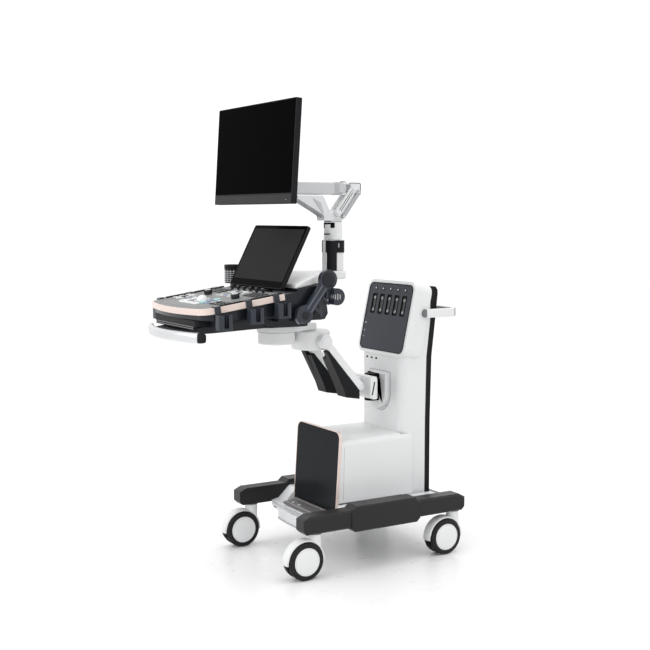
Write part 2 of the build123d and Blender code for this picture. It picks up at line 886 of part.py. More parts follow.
with BuildPart() as front_handle:
    with BuildSketch(Plane.XY.offset(784)):
        with BuildLine():
            ThreePointArc((-200, -488), (0, -534), (200, -488))
            Line((200, -488), (209, -483))
            Line((209, -483), (209, -470))
            Line((209, -470), (200, -467))
            ThreePointArc((200, -467), (0, -514), (-200, -467))
            Line((-200, -467), (-209, -470))
            Line((-209, -470), (-209, -483))
            Line((-209, -483), (-200, -488))
        make_face()
    extrude(amount=34)
    fillet(front_handle.edges().filter_by(Axis.Z, reverse=True), 5)
save(front_handle, "front_handle")

# ---------------------------------------------------------------- touchscreen
with BuildPart() as touch_housing:
    with BuildSketch(TOUCH.offset(-12)):
        RectangleRounded(touch_w, touch_h, 9)
    extrude(amount=12)
    with BuildSketch(TOUCH.offset(-2)):
        RectangleRounded(touch_w - 5, touch_h - 5, 7)
    extrude(amount=4, mode=Mode.SUBTRACT)
    with BuildSketch(TOUCH.offset(-24)):
        with Locations((0, 6)):
            RectangleRounded(250, 120, 14)
    extrude(amount=12)
    with BuildSketch(TOUCH.offset(-20)):
        with Locations((0, -89)):
            Rectangle(94, 14)
    extrude(amount=8)
    with BuildSketch(Plane.YZ.offset(-47)):
        with Locations((touch_pivot_y, touch_pivot_z)):
            Circle(7.5)
    extrude(amount=94)
    with BuildSketch(Plane.YZ.offset(-60)):
        with Locations((touch_pivot_y, touch_pivot_z)):
            Circle(3.5 + running)
    extrude(amount=120, mode=Mode.SUBTRACT)
save(touch_housing, "touch_housing")

with BuildPart() as touch_glass:
    with BuildSketch(TOUCH.offset(-2)):
        RectangleRounded(touch_w - 5.4, touch_h - 5.4, 6.8)
    extrude(amount=2)
save(touch_glass, "touch_glass")

# ---------------------------------------------------------------- cable arm
with BuildPart() as cable_arm:
    with BuildSketch(Plane.YZ.offset(228)):
        with Locations((-140, 858)):
            Circle(24)
        with Locations((-55, 970)):
            Circle(31)
        with BuildLine():
            Polyline((-158, 842), (-122, 846), (-38, 948), (-78, 988), close=True)
        make_face()
    extrude(amount=18)
    with BuildSketch(Plane.YZ.offset(214.5)):
        with Locations((-140, 858)):
            Circle(8)
    extrude(amount=14)
    with BuildSketch(Plane.YZ.offset(232)):
        for hook in ((-62, 902), (-90, 870)):
            with Locations(hook):
                Rectangle(34, 9, rotation=-40)
        with Locations((-54, 930)):
            Rectangle(18, 50)
    extrude(amount=10)
save(cable_arm, "cable_arm")

with BuildPart() as cable_comb:
    with BuildSketch(Plane.YZ.offset(224)):
        with Locations((-32, 915)):
            Circle(11)
    extrude(amount=36)
    for start in (224, 235, 246, 257):
        with BuildSketch(Plane.YZ.offset(start)):
            with Locations((-32, 915)):
                Circle(27)
        extrude(amount=4)
    with BuildSketch(Plane.YZ.offset(210)):
        with Locations((-58, 915)):
            Rectangle(26, 70)
    extrude(amount=60, mode=Mode.SUBTRACT)
save(cable_comb, "cable_comb")

# ---------------------------------------------------------------- monitor post
with BuildPart() as post_collar:
    with BuildSketch(Plane.XY.offset(1047)):
        with Locations((0, post_y)):
            RectangleRounded(post_w + 6, post_d + 6, 23)
            RectangleRounded(post_w, post_d, 20, mode=Mode.SUBTRACT)
    extrude(amount=41)
    with BuildSketch(Plane.XY.offset(985.2)):
        with Locations((0, post_y - post_d / 2 - 1.5)):
            Rectangle(26, 3)
    extrude(amount=62)

with BuildPart() as monitor_post:
    with BuildSketch(Plane.XY.offset(985)):
        with Locations((0, post_y)):
            RectangleRounded(post_w, post_d, 20)
    extrude(amount=post_top - 985)
    with BuildSketch(Plane.XY.offset(1080)):
        with Locations((0, post_y)):
            Circle(14 + running)
    extrude(amount=12, mode=Mode.SUBTRACT)
    add(post_collar.part)
save(monitor_post, "monitor_post")

# ---------------------------------------------------------------- monitor arm
with BuildPart() as bar_cradle:
    with BuildSketch(Plane.YZ.offset(-24)):
        with BuildLine():
            Polyline(
                (86, 1158), (90, 1176), (58, 1240), (-42, 1240), (-42, 1229), (58, 1176), (66, 1158),
                close=True,
            )
        make_face()
    extrude(amount=48)

with BuildPart() as pan_head:
    with BuildSketch(Plane.XY.offset(post_top + 1)):
        with Locations((0, post_y)):
            Circle(pan_r)
    extrude(amount=pan_top - post_top - 1)
    fillet(pan_head.edges().group_by(Axis.Z)[-1], 4)
    with BuildSketch(Plane.XY.offset(post_top - 9)):
        with Locations((0, post_y)):
            Circle(14)
    extrude(amount=12)
    with BuildSketch(Plane.YZ.offset(-13)):
        with Locations((base_y, base_z)):
            Circle(13)
        with Locations((base_y + link_dy, base_z + link_dz)):
            Circle(9)
        with Locations((post_y - 6, pan_top + 2)):
            Rectangle(44, 16)
        make_hull()
    extrude(amount=26)
    with BuildSketch(Plane.YZ.offset(-24)):
        with Locations((78, 1164)):
            Rectangle(34, 16)
    extrude(amount=48)
    with BuildSketch(Plane.YZ.offset(-25)):
        with Locations((base_y, base_z)):
            Circle(5)
    extrude(amount=50)
    with BuildSketch(Plane.YZ.offset(-24)):
        with Locations((base_y + link_dy, base_z + link_dz)):
            Circle(3)
    extrude(amount=48)
    add(bar_cradle.part)
save(pan_head, "pan_head")


def slanted_bar(start, end, radius):
    """Round-ended bar outline between two pivots."""
    with Locations(start, end):
        Circle(radius)
    make_hull()


with BuildPart() as monitor_lift_arm:
    with BuildSketch(Plane.YZ.offset(14)):
        slanted_bar((base_y, base_z), (elbow_y, elbow_z), 11)
        with Locations((base_y, base_z), (elbow_y, elbow_z)):
            Circle(5 + running, mode=Mode.SUBTRACT)
    extrude(amount=10)
    mirror(about=Plane.YZ)
save(monitor_lift_arm, "monitor_lift_arm")

with BuildPart() as parallel_link:
    with BuildSketch(Plane.YZ.offset(14.5)):
        slanted_bar(
            (base_y + link_dy, base_z + link_dz),
            (elbow_y + link_dy, elbow_z + link_dz),
            7,
        )
        with Locations((base_y + link_dy, base_z + link_dz)):
            Circle(3 + running, mode=Mode.SUBTRACT)
        with Locations((elbow_y + link_dy, elbow_z + link_dz)):
            Circle(3.4, mode=Mode.SUBTRACT)
    extrude(amount=8)
    mirror(about=Plane.YZ)
save(parallel_link, "parallel_link")

with BuildPart() as elbow_block:
    with BuildSketch(Plane.YZ.offset(-13)):
        with BuildLine():
            Polyline((168, bar_z0), (216, bar_z0), (216, 1280), (210, bar_z1), (168, bar_z1), close=True)
        make_face()
    extrude(amount=26)
    with BuildSketch(Plane.YZ.offset(-25)):
        with Locations((elbow_y, elbow_z)):
            Circle(5)
    extrude(amount=50)
    with BuildSketch(Plane.YZ.offset(-24)):
        with Locations((elbow_y + link_dy, elbow_z + link_dz)):
            Circle(3)
    extrude(amount=48)
    for ear_z in (bar_z0, bar_z1 - 7):
        with BuildSketch(Plane.XY.offset(ear_z)):
            with Locations((0, swing_y)):
                Circle(13.5)
            with Locations((0, swing_y + 10)):
                Rectangle(26, 20)
        extrude(amount=7)
    with BuildSketch(Plane.XY.offset(bar_z0 + 3)):
        with Locations((0, swing_y)):
            Circle(5)
    extrude(amount=bar_z1 - bar_z0 - 6)
save(elbow_block, "elbow_block")

drum_z0 = bar_z0 + 7.4
drum_h = bar_z1 - bar_z0 - 14.8
with BuildPart() as elbow_bar:
    with BuildSketch(Plane.XY.offset(bar_z0)):
        with Locations((0, (swing_y + swivel_y) / 2)):
            Rectangle(26, swing_y - swivel_y - 38)
    extrude(amount=bar_z1 - bar_z0)
    fillet(elbow_bar.edges().filter_by(Axis.Y), 5)
    with BuildSketch(Plane.XY.offset(drum_z0)):
        with Locations((0, swing_y), (0, swivel_y)):
            Circle(13)
        with Locations((0, (swing_y + swivel_y) / 2)):
            Rectangle(24, swing_y - swivel_y)
    extrude(amount=drum_h)
    with BuildSketch(Plane.XY.offset(drum_z0)):
        with Locations((0, swing_y), (0, swivel_y)):
            Circle(5 + running)
    extrude(amount=drum_h, mode=Mode.SUBTRACT)
save(elbow_bar, "elbow_bar")

with BuildPart() as tilt_head:
    for ear_z in (bar_z0, bar_z1 - 7):
        with BuildSketch(Plane.XY.offset(ear_z)):
            with Locations((0, swivel_y)):
                Circle(13.5)
            with Locations((0, swivel_y - 10)):
                Rectangle(26, 20)
        extrude(amount=7)
    with BuildSketch(Plane.XY.offset(bar_z0 + 3)):
        with Locations((0, swivel_y)):
            Circle(5)
    extrude(amount=bar_z1 - bar_z0 - 6)
    with BuildSketch(Plane.YZ.offset(-12)):
        with BuildLine():
            Polyline(
                (swivel_y - 20, bar_z0), (swivel_y - 15, bar_z0), (swivel_y - 15, bar_z1 - 7),
                (swivel_y + 8, bar_z1 - 7), (swivel_y + 8, bar_z1), (tilt_y + 12, tilt_z),
                (tilt_y - 12, tilt_z), (swivel_y - 20, bar_z1),
                close=True,
            )
        make_face()
        with Locations((tilt_y, tilt_z)):
            Circle(12)
    extrude(amount=24)
    with BuildSketch(Plane.YZ.offset(-22)):
        with Locations((tilt_y, tilt_z)):
            Circle(4)
    extrude(amount=44)
save(tilt_head, "tilt_head")

# ---------------------------------------------------------------- monitor
with BuildPart() as monitor_housing:
    with BuildSketch(MONITOR.offset(-20)):
        RectangleRounded(monitor_w, monitor_h, 5)
    extrude(amount=20)
    with BuildSketch(MONITOR.offset(-2)):
        with Locations((0, chin / 2)):
            Rectangle(monitor_w - 6, monitor_h - chin - 6)
    extrude(amount=4, mode=Mode.SUBTRACT)
    with BuildSketch(MONITOR.offset(-36)):
        with Locations((0, -10)):
            RectangleRounded(300, 190, 20)
    extrude(amount=16)
    with BuildSketch(MONITOR.offset(-42)):
        with Locations((0, -27)):
            RectangleRounded(110, 110, 8)
    extrude(amount=6)
    for sign in (1, -1):
        with BuildSketch(Plane.YZ.offset(sign * 17 - 4)):
            with Locations((tilt_y, tilt_z)):
                Circle(11)
            with Locations((tilt_y - 11, tilt_z)):
                Rectangle(22, 22)
            with Locations((tilt_y, tilt_z)):
                Circle(4 + running, mode=Mode.SUBTRACT)
        extrude(amount=8)
save(monitor_housing, "monitor_housing")

with BuildPart() as monitor_glass:
    with BuildSketch(MONITOR.offset(-2)):
        with Locations((0, chin / 2)):
            Rectangle(monitor_w - 6.4, monitor_h - chin - 6.4)
    extrude(amount=1.6)
save(monitor_glass, "monitor_glass")
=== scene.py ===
import bmesh
import bpy
import json
from collections import namedtuple
from math import cos, pi, radians, sin
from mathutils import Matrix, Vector

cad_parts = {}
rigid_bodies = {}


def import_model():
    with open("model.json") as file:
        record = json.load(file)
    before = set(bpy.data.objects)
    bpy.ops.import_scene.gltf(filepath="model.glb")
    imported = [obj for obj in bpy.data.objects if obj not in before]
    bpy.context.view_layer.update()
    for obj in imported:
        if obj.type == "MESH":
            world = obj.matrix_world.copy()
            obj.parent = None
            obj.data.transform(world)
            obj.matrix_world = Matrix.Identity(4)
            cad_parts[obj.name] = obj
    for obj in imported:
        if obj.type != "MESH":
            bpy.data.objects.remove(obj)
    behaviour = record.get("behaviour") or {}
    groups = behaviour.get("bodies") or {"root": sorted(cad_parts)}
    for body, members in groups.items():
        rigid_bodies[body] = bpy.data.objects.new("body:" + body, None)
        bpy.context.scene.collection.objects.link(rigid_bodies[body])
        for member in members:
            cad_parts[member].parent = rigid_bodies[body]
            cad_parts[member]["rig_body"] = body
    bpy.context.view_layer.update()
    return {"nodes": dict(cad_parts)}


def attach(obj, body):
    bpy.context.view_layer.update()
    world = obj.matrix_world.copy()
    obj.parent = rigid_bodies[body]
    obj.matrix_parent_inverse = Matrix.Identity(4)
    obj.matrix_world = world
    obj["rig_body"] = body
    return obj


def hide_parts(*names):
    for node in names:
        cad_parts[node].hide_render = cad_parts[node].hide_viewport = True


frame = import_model()
nodes = frame["nodes"]

# Looks of the ultrasound machine. Sizes here are in millimetres and become metres when a mesh is made.
# +Z is up, -Y is towards the user, +X is the user's right.

# ---------------------------------------------------------------- sizes taken over from the part
WHEEL_R = 62.5
CASTERS = {
    "front_right": (223.5, -96), "front_left": (-223.5, -96),
    "rear_right": (223.5, 464), "rear_left": (-223.5, 464),
}
CASTER_TRAIL = 42
SOCKET_XS = (-92, -46, 0, 46, 92)
CUP_YS = (-425, -318, -222)
CUP_DROP = 24
CUP_X = 243
GEL_CUP = (-244, -150)
HOUSING_HALF = 141
HOUSING_TOP = 420
RAIL_X = 227.5
TUB_HALF = 213.7
HANDLE_HALF = 209
POST_Y = 111
POST_HALF_X = 29
POST_ROUND = 20
POST_FOOT = 985.3
COLLAR_Z = (1046.5, 1088.5)
PAN_R = 32
BASE_PIVOT = (117, 1180)
ELBOW_PIVOT = (180, 1263)
LINK_HALF = 24
BAR_Z = 1264.5
CABLE_FOOT = (-140, 858)
CABLE_SHOULDER = (-55, 970)
CABLE_X = 228
COMB = (-32, 915)
TOUCH_SIZE = (365, 225)
MONITOR_SIZE = (540, 325)
DECK_Y, DECK_Z, DECK_TILT = -336, 909, 8
# centre u, centre v, columns, rows, pitch u, pitch v, key width, key depth, tone
KEY_BLOCKS = (
    (-128, 80, 4, 3, 22, 18, 17, 13, "dark"),
    (128, 80, 4, 3, 22, 18, 17, 13, "dark"),
    (0, 88, 5, 2, 24, 20, 19, 14, "mixed"),
    (0, -95, 3, 1, 46, 20, 40, 15, "light"),
    (-58, -48, 1, 3, 26, 26, 20, 20, "light"),
    (58, -48, 1, 3, 26, 26, 20, 20, "lit"),
    (-150, -40, 3, 3, 26, 24, 18, 15, "mixed"),
    (150, -60, 3, 2, 26, 24, 18, 15, "dark"),
)
KNOBS = {"left_knob": (-100, 22), "right_knob": (112, 16)}
TOGGLE_US = (-110, -66, -22, 22, 66, 110)
TOGGLE_V = 117
BALL_V = -48

# ---------------------------------------------------------------- planes


class Plane(namedtuple("Plane", "origin x y n")):
    """A working plane: a point, two directions in it and the direction out of it."""

    def at(self, u, v, w=0.0):
        return self.origin + u * self.x + v * self.y + w * self.n


X, Y, Z = Vector((1, 0, 0)), Vector((0, 1, 0)), Vector((0, 0, 1))


def leaning(y, z, tilt):
    """A plane that faces the user, with its top leaning back by tilt degrees."""
    t = radians(tilt)
    return Plane(Vector((0, y, z)), X, Vector((0, sin(t), cos(t))), Vector((0, -cos(t), sin(t))))


def sloping(y, z, tilt):
    """A plane that faces up, with its far side raised by tilt degrees."""
    t = radians(tilt)
    return Plane(Vector((0, y, z)), X, Vector((0, cos(t), sin(t))), Vector((0, -sin(t), cos(t))))


def side(x, sign=1):
    """A plane that faces right or left, with u along +Y and v along +Z."""
    return Plane(Vector((x, 0, 0)), Y, Z, sign * X)


def front(y, z=0):
    """A plane that faces the user, with u along +X and v along +Z."""
    return Plane(Vector((0, y, z)), X, Z, -Y)


def rear(y):
    """A plane that faces away from the user, with u along +X and v along +Z."""
    return Plane(Vector((0, y, 0)), X, Z, Y)


def level(z):
    """A horizontal plane that faces up."""
    return Plane(Vector((0, 0, z)), X, Y, Z)


DECK = sloping(DECK_Y, DECK_Z, DECK_TILT)
HEAD = leaning(332, 814, 12)
TOUCH = leaning(-144, 1040, 27)
MONITOR = leaning(-196, 1372, 3.7)
PEDAL = sloping(-3.5, 173.5, 13.2)
BUMPER = front(-39, 143)
COLUMN = front(308)


def deck_height(y):
    """Height of the console's working surface at depth y."""
    return DECK_Z + (y - DECK_Y) * sin(radians(DECK_TILT)) / cos(radians(DECK_TILT))


# ---------------------------------------------------------------- outlines


def rounded(width, height, radius, u=0.0, v=0.0, steps=5):
    """Outline of a rectangle with round corners."""
    points = []
    for corner in range(4):
        cu = u + (width / 2 - radius) * (1 if corner in (0, 3) else -1)
        cv = v + (height / 2 - radius) * (1 if corner in (0, 1) else -1)
        for step in range(steps + 1):
            a = pi / 2 * (corner + step / steps)
            points.append((cu + radius * cos(a), cv + radius * sin(a)))
    return points


def circle(radius, u=0.0, v=0.0, count=40):
    """Points of a full circle."""
    turns = [2 * pi * i / count for i in range(count)]
    return [(u + radius * cos(a), v + radius * sin(a)) for a in turns]


def arc(centre, radius, start, end, steps=24):
    """Points of an arc, in degrees, in the (u, v) of a plane."""
    angles = [radians(start + (end - start) * i / steps) for i in range(steps + 1)]
    return [(centre[0] + radius * cos(a), centre[1] + radius * sin(a)) for a in angles]


# ---------------------------------------------------------------- mesh building
MM = 0.001
POLE_R = 0.02


class Shape:
    """Collects closed rings of points and turns them into one piece."""

    def __init__(self):
        self.points = []
        self.faces = []
        self.paints = []

    def rings(self, loops, paint=0, joined=False):
        """Skin over loops with equal counts. The ends are capped unless the last joins the first."""
        count = len(loops[0])
        base = len(self.points)
        for loop in loops:
            self.points.extend(loop)
        pairs = len(loops) if joined else len(loops) - 1
        for i in range(pairs):
            a = base + i * count
            b = base + (i + 1) % len(loops) * count
            for j in range(count):
                k = (j + 1) % count
                self.faces.append((a + j, a + k, b + k, b + j))
                self.paints.append(paint)
        if not joined:
            self.faces.append(tuple(range(base, base + count))[::-1])
            last = base + (len(loops) - 1) * count
            self.faces.append(tuple(range(last, last + count)))
            self.paints.extend((paint, paint))

    def stack(self, plane, levels, paint=0):
        """Outlines at rising heights above a plane."""
        self.rings([[plane.at(u, v, w) for u, v in outline] for outline, w in levels], paint)

    def prism(self, plane, outline, low, high, paint=0):
        """One outline carried straight out of a plane."""
        self.stack(plane, [(outline, low), (outline, high)], paint)

    def lathe(self, plane, centre, profile, paint=0, count=48):
        """Circles of (radius, height) about the plane's normal."""
        levels = [(circle(max(r, POLE_R), *centre, count), w) for r, w in profile]
        self.stack(plane, levels, paint)

    def sweep(self, path, section, up, paint=0, joined=False):
        """A section of (across, above) points carried along a path."""
        loops = []
        last = len(path) - 1
        for i, point in enumerate(path):
            before = path[i - 1] if i or joined else path[0]
            after = path[(i + 1) % len(path)] if i < last or joined else path[last]
            along = (after - before).normalized()
            across = along.cross(up).normalized()
            above = across.cross(along)
            loops.append([point + s * across + t * above for s, t in section])
        self.rings(loops, paint, joined)

    def piece(self, name, body, materials, replaces=(), bevel=0.0, segments=2, sharp=35):
        """Make the object, hang it on its body and let it stand for CAD nodes."""
        mesh = bpy.data.meshes.new(name)
        mesh.from_pydata([p * MM for p in self.points], [], self.faces)
        mesh.polygons.foreach_set("material_index", self.paints)
        finish_piece(mesh, name, body, materials, replaces, bevel, segments, sharp)


def add_bevel(obj, width, segments):
    """Round an object's edges with a bevel modifier."""
    modifier = obj.modifiers.new("Bevel", "BEVEL")
    modifier.width = width * MM
    modifier.segments = segments
    modifier.harden_normals = True
    return modifier


def finish_piece(mesh, name, body, materials, replaces, bevel, segments, sharp):
    """Clean a mesh, shade it, round its edges and hang it on its body."""
    work = bmesh.new()
    work.from_mesh(mesh)
    bmesh.ops.recalc_face_normals(work, faces=work.faces)
    work.to_mesh(mesh)
    work.free()
    mesh.polygons.foreach_set("use_smooth", [True] * len(mesh.polygons))
    mesh.set_sharp_from_angle(angle=radians(sharp))
    for look in materials:
        mesh.materials.append(LOOKS[look])
    obj = bpy.data.objects.new(name, mesh)
    bpy.context.scene.collection.objects.link(obj)
    if bevel:
        modifier = add_bevel(obj, bevel, segments)
        modifier.limit_method = "ANGLE"
        modifier.angle_limit = radians(sharp)
    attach(obj, body)
    if replaces:
        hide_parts(*replaces)


def soften(node, width, looks, paint=None, segments=3, sharp=28, keep=()):
    """The CAD node's own shape with its edges rounded. Edges inside a keep box stay as they are."""
    work = bmesh.new()
    work.from_mesh(nodes[node].data)
    bmesh.ops.remove_doubles(work, verts=work.verts, dist=4e-6)
    bmesh.ops.dissolve_limit(work, angle_limit=radians(0.6), verts=work.verts, edges=work.edges)
    bmesh.ops.recalc_face_normals(work, faces=work.faces)
    weights = work.edges.layers.float.new("bevel_weight_edge")
    for edge in work.edges:
        middle = (edge.verts[0].co + edge.verts[1].co) / (2 * MM)
        kept = any(all(lo[i] <= middle[i] <= hi[i] for i in range(3)) for lo, hi in keep)
        if edge.is_manifold and not kept and edge.calc_face_angle(0) > radians(sharp):
            edge[weights] = 1.0
    tones = [paint(face.calc_center_median() / MM) if paint else 0 for face in work.faces]
    for face in work.faces:
        face.smooth = True
    mesh = bpy.data.meshes.new(node + "_body")
    work.to_mesh(mesh)
    work.free()
    if "custom_normal" in mesh.attributes:
        mesh.attributes.remove(mesh.attributes["custom_normal"])
    mesh.set_sharp_from_angle(angle=radians(sharp))
    mesh.materials.clear()
    for look in looks:
        mesh.materials.append(LOOKS[look])
    mesh.polygons.foreach_set("material_index", tones)
    obj = bpy.data.objects.new(node + "_body", mesh)
    bpy.context.scene.collection.objects.link(obj)
    add_bevel(obj, width, segments).limit_method = "WEIGHT"
    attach(obj, nodes[node]["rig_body"])
    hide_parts(node)


# ---------------------------------------------------------------- materials


def shader_node(tree, kind, values, **settings):
    """A new node with its settings and the values of its sockets."""
    made = tree.nodes.new("ShaderNode" + kind)
    for name, value in settings.items():
        setattr(made, name, value)
    for socket, value in values.items():
        made.inputs[socket].default_value = value
    return made


def painted_edge_highlights(tree, colour, colour_out, edge_highlight):
    """The colour with paler rims where the surface turns sharply: a painted highlight along the edges."""
    link = tree.links.new
    rounding = shader_node(tree, "Bevel", {"Radius": 0.0016}, samples=4)
    surface = tree.nodes.new("ShaderNodeNewGeometry")
    facing = shader_node(tree, "VectorMath", {}, operation="DOT_PRODUCT")
    link(rounding.outputs["Normal"], facing.inputs[0])
    link(surface.outputs["Normal"], facing.inputs[1])
    rim = shader_node(tree, "MapRange", {"From Min": 0.995, "From Max": 0.80, "To Max": edge_highlight})
    link(facing.outputs["Value"], rim.inputs["Value"])
    pale = (*[min(c * 1.6 + 0.10, 1) for c in colour], 1)
    highlighted = shader_node(tree, "Mix", {}, data_type="RGBA")
    highlighted.inputs["B"].default_value = pale
    link(rim.outputs["Result"], highlighted.inputs["Factor"])
    link(colour_out, highlighted.inputs["A"])
    return highlighted.outputs["Result"]


def moulded(name, colour, roughness, grain=900.0, relief=0.12, mottle=0.05, metallic=0.0, coat=0.0,
            brushed=(1.0, 1.0, 1.0), edge_highlight=0.0, specular=0.5):
    """A procedural finish: mottled colour, uneven roughness, fine relief and paler edges painted on as a
    highlight.
    """
    material = bpy.data.materials.new(name)
    material.use_nodes = True
    tree = material.node_tree
    link = tree.links.new
    shader = tree.nodes["Principled BSDF"]
    shader.inputs["Metallic"].default_value = metallic
    shader.inputs["Coat Weight"].default_value = coat
    shader.inputs["Coat Roughness"].default_value = 0.06
    shader.inputs["Specular IOR Level"].default_value = specular
    place = tree.nodes.new("ShaderNodeTexCoord")
    stretch = shader_node(tree, "Mapping", {"Scale": brushed})
    link(place.outputs["Object"], stretch.inputs["Vector"])
    broad = shader_node(tree, "TexNoise", {"Scale": 9.0, "Detail": 5.0})
    link(place.outputs["Object"], broad.inputs["Vector"])
    fine = shader_node(tree, "TexNoise", {"Scale": grain, "Detail": 3.0})
    link(stretch.outputs["Vector"], fine.inputs["Vector"])
    tint = shader_node(tree, "Mix", {}, data_type="RGBA")
    tint.inputs["A"].default_value = (*[c * (1 - mottle) for c in colour], 1)
    tint.inputs["B"].default_value = (*[min(c * (1 + mottle), 1) for c in colour], 1)
    link(broad.outputs["Fac"], tint.inputs["Factor"])
    speckle = shader_node(tree, "Mix", {}, data_type="RGBA", blend_type="MULTIPLY")
    speckle.inputs["Factor"].default_value = 0.10
    link(tint.outputs["Result"], speckle.inputs["A"])
    link(fine.outputs["Fac"], speckle.inputs["B"])
    colour_out = speckle.outputs["Result"]
    # Paler rims along sharp edges: a painted highlight.
    if edge_highlight:
        colour_out = painted_edge_highlights(tree, colour, colour_out, edge_highlight)
    link(colour_out, shader.inputs["Base Color"])
    sheen = shader_node(tree, "MapRange", {"From Min": 0.3, "From Max": 0.7})
    sheen.inputs["To Min"].default_value = max(roughness - 0.05, 0.02)
    sheen.inputs["To Max"].default_value = min(roughness + 0.06, 1)
    link(broad.outputs["Fac"], sheen.inputs["Value"])
    link(sheen.outputs["Result"], shader.inputs["Roughness"])
    bump = shader_node(tree, "Bump", {"Strength": relief, "Distance": 0.0005})
    link(fine.outputs["Fac"], bump.inputs["Height"])
    link(bump.outputs["Normal"], shader.inputs["Normal"])
    return material


# The edge values of black, rail, tub and arm_black paint paler rims along sharp edges: a painted highlight.
LOOKS = {
    "white": moulded("white_shell", (0.765, 0.77, 0.775), 0.38, relief=0.06, mottle=0.015),
    "cool_white": moulded("cool_white_shell", (0.72, 0.73, 0.745), 0.32, relief=0.05, mottle=0.02),
    "seam": moulded("seam_grey", (0.17, 0.175, 0.185), 0.6, relief=0.1, mottle=0.05, specular=0.2),
    "pedal": moulded("pedal_grey", (0.12, 0.12, 0.125), 0.42, grain=1600, relief=0.2, mottle=0.08,
                     specular=0.3),
    "cool_grey": moulded("cool_grey", (0.50, 0.51, 0.53), 0.4, relief=0.08, mottle=0.06),
    "pale_grey": moulded("pale_grey", (0.42, 0.43, 0.44), 0.42, relief=0.08, mottle=0.03),
    "black": moulded("black_grained", (0.013, 0.0135, 0.015), 0.42, grain=1500, relief=0.22, mottle=0.12,
                     edge_highlight=0.12, specular=0.09),
    "rail": moulded("rail_black", (0.018, 0.018, 0.019), 0.36, grain=1700, relief=0.25, mottle=0.12,
                    edge_highlight=0.35, specular=0.22),
    "gloss": moulded("panel_black", (0.017, 0.0185, 0.0205), 0.2, grain=500, relief=0.02, mottle=0.12,
                     specular=0.035),
    "tub": moulded("tub_blue_black", (0.010, 0.0115, 0.016), 0.24, grain=700, relief=0.06, mottle=0.15,
                   edge_highlight=0.2, specular=0.28),
    "arm_black": moulded("arm_blue_black", (0.026, 0.031, 0.042), 0.26, grain=900, relief=0.06,
                         mottle=0.12, edge_highlight=0.45, specular=0.35),
    # Lighter blue-grey for the two ribs on the cable arm: painted highlights along the arm.
    "arm_edge": moulded("arm_highlight_blue", (0.13, 0.145, 0.18), 0.3, grain=900, relief=0.06, mottle=0.1,
                        specular=0.4),
    "panel_grey": moulded("panel_blue_grey", (0.040, 0.045, 0.056), 0.36, grain=1500, relief=0.1,
                          mottle=0.08, specular=0.2),
    "pocket": moulded("pocket_black", (0.004, 0.004, 0.0045), 0.5, relief=0.1, mottle=0.2, specular=0.08),
    "contact": moulded("contact_grey", (0.115, 0.118, 0.125), 0.4, grain=2600, relief=0.5, mottle=0.15,
                       specular=0.25),
    "copper": moulded("rose_trim", (0.77, 0.64, 0.585), 0.32, grain=1200, relief=0.08, mottle=0.03,
                      metallic=0.2, brushed=(0.15, 1, 1)),
    "silver": moulded("satin_silver", (0.66, 0.67, 0.68), 0.28, grain=1400, relief=0.06, mottle=0.03,
                      metallic=0.6, brushed=(0.08, 1, 1)),
    "bar": moulded("bar_paint", (0.56, 0.57, 0.58), 0.36, grain=1200, relief=0.08, mottle=0.03,
                   metallic=0.3, brushed=(1, 0.08, 1)),
    "metal": moulded("cast_metal", (0.22, 0.23, 0.24), 0.5, grain=500, relief=0.3, mottle=0.1,
                     metallic=0.8),
    "tyre": moulded("tyre_rubber", (0.014, 0.014, 0.015), 0.5, grain=1300, relief=0.3, mottle=0.15,
                    specular=0.2),
    "hub": moulded("hub_white", (0.82, 0.825, 0.83), 0.33, relief=0.05, mottle=0.02),
    "deck": moulded("deck_grey", (0.225, 0.225, 0.222), 0.48, grain=2200, relief=0.15, mottle=0.05,
                    specular=0.3),
    "cap_dark": moulded("keycap_dark", (0.030, 0.031, 0.035), 0.42, grain=2400, relief=0.15, mottle=0.1,
                        specular=0.2),
    "cap_grey": moulded("keycap_grey", (0.50, 0.51, 0.52), 0.42, grain=2400, relief=0.12, mottle=0.05),
    "cap_white": moulded("keycap_white", (0.82, 0.83, 0.85), 0.35, grain=2400, relief=0.08, mottle=0.02),
    "cap_cyan": moulded("keycap_cyan", (0.36, 0.68, 0.70), 0.30, grain=2400, relief=0.08, mottle=0.06),
    "cap_blue": moulded("keycap_blue", (0.20, 0.26, 0.42), 0.35, grain=2400, relief=0.08, mottle=0.08),
    "ball": moulded("ball_white", (0.82, 0.83, 0.84), 0.12, relief=0.01, mottle=0.01, coat=0.5),
    "glass": moulded("screen_black", (0.0014, 0.0014, 0.0018), 0.1, grain=300, relief=0.01, mottle=0.2,
                     specular=0.01),
    "display": moulded("display_grey", (0.024, 0.024, 0.024), 0.3, grain=3000, relief=0.03, mottle=0.04,
                       specular=0.01),
    "screen": moulded("display_black", (0.0008, 0.0008, 0.001), 0.2, grain=3000, relief=0.02, mottle=0.1,
                      specular=0.004),
    "chin": moulded("chin_grey", (0.022, 0.022, 0.024), 0.40, grain=1800, relief=0.1, mottle=0.06,
                    specular=0.12),
}

# ---------------------------------------------------------------- CAD nodes that only need a finish
PLAIN_NODES = {
    "chassis_frame": "metal", "front_panel": "gloss", "column_back": "black",
    "port_panel": "panel_grey", "port_sockets": "pocket", "power_module": "black",
    "arm_head": "white", "swivel_link": "white", "console_top": "deck", "trackball": "ball",
    "console_tub": "tub", "gel_cup": "black", "touch_glass": "glass",
    "cable_comb": "arm_black", "monitor_glass": "screen", "tilt_head": "bar",
}
for node, look in PLAIN_NODES.items():
    if not nodes[node].material_slots:
        nodes[node].data.materials.append(LOOKS[look])
    for material_slot in nodes[node].material_slots:
        material_slot.material = LOOKS[look]

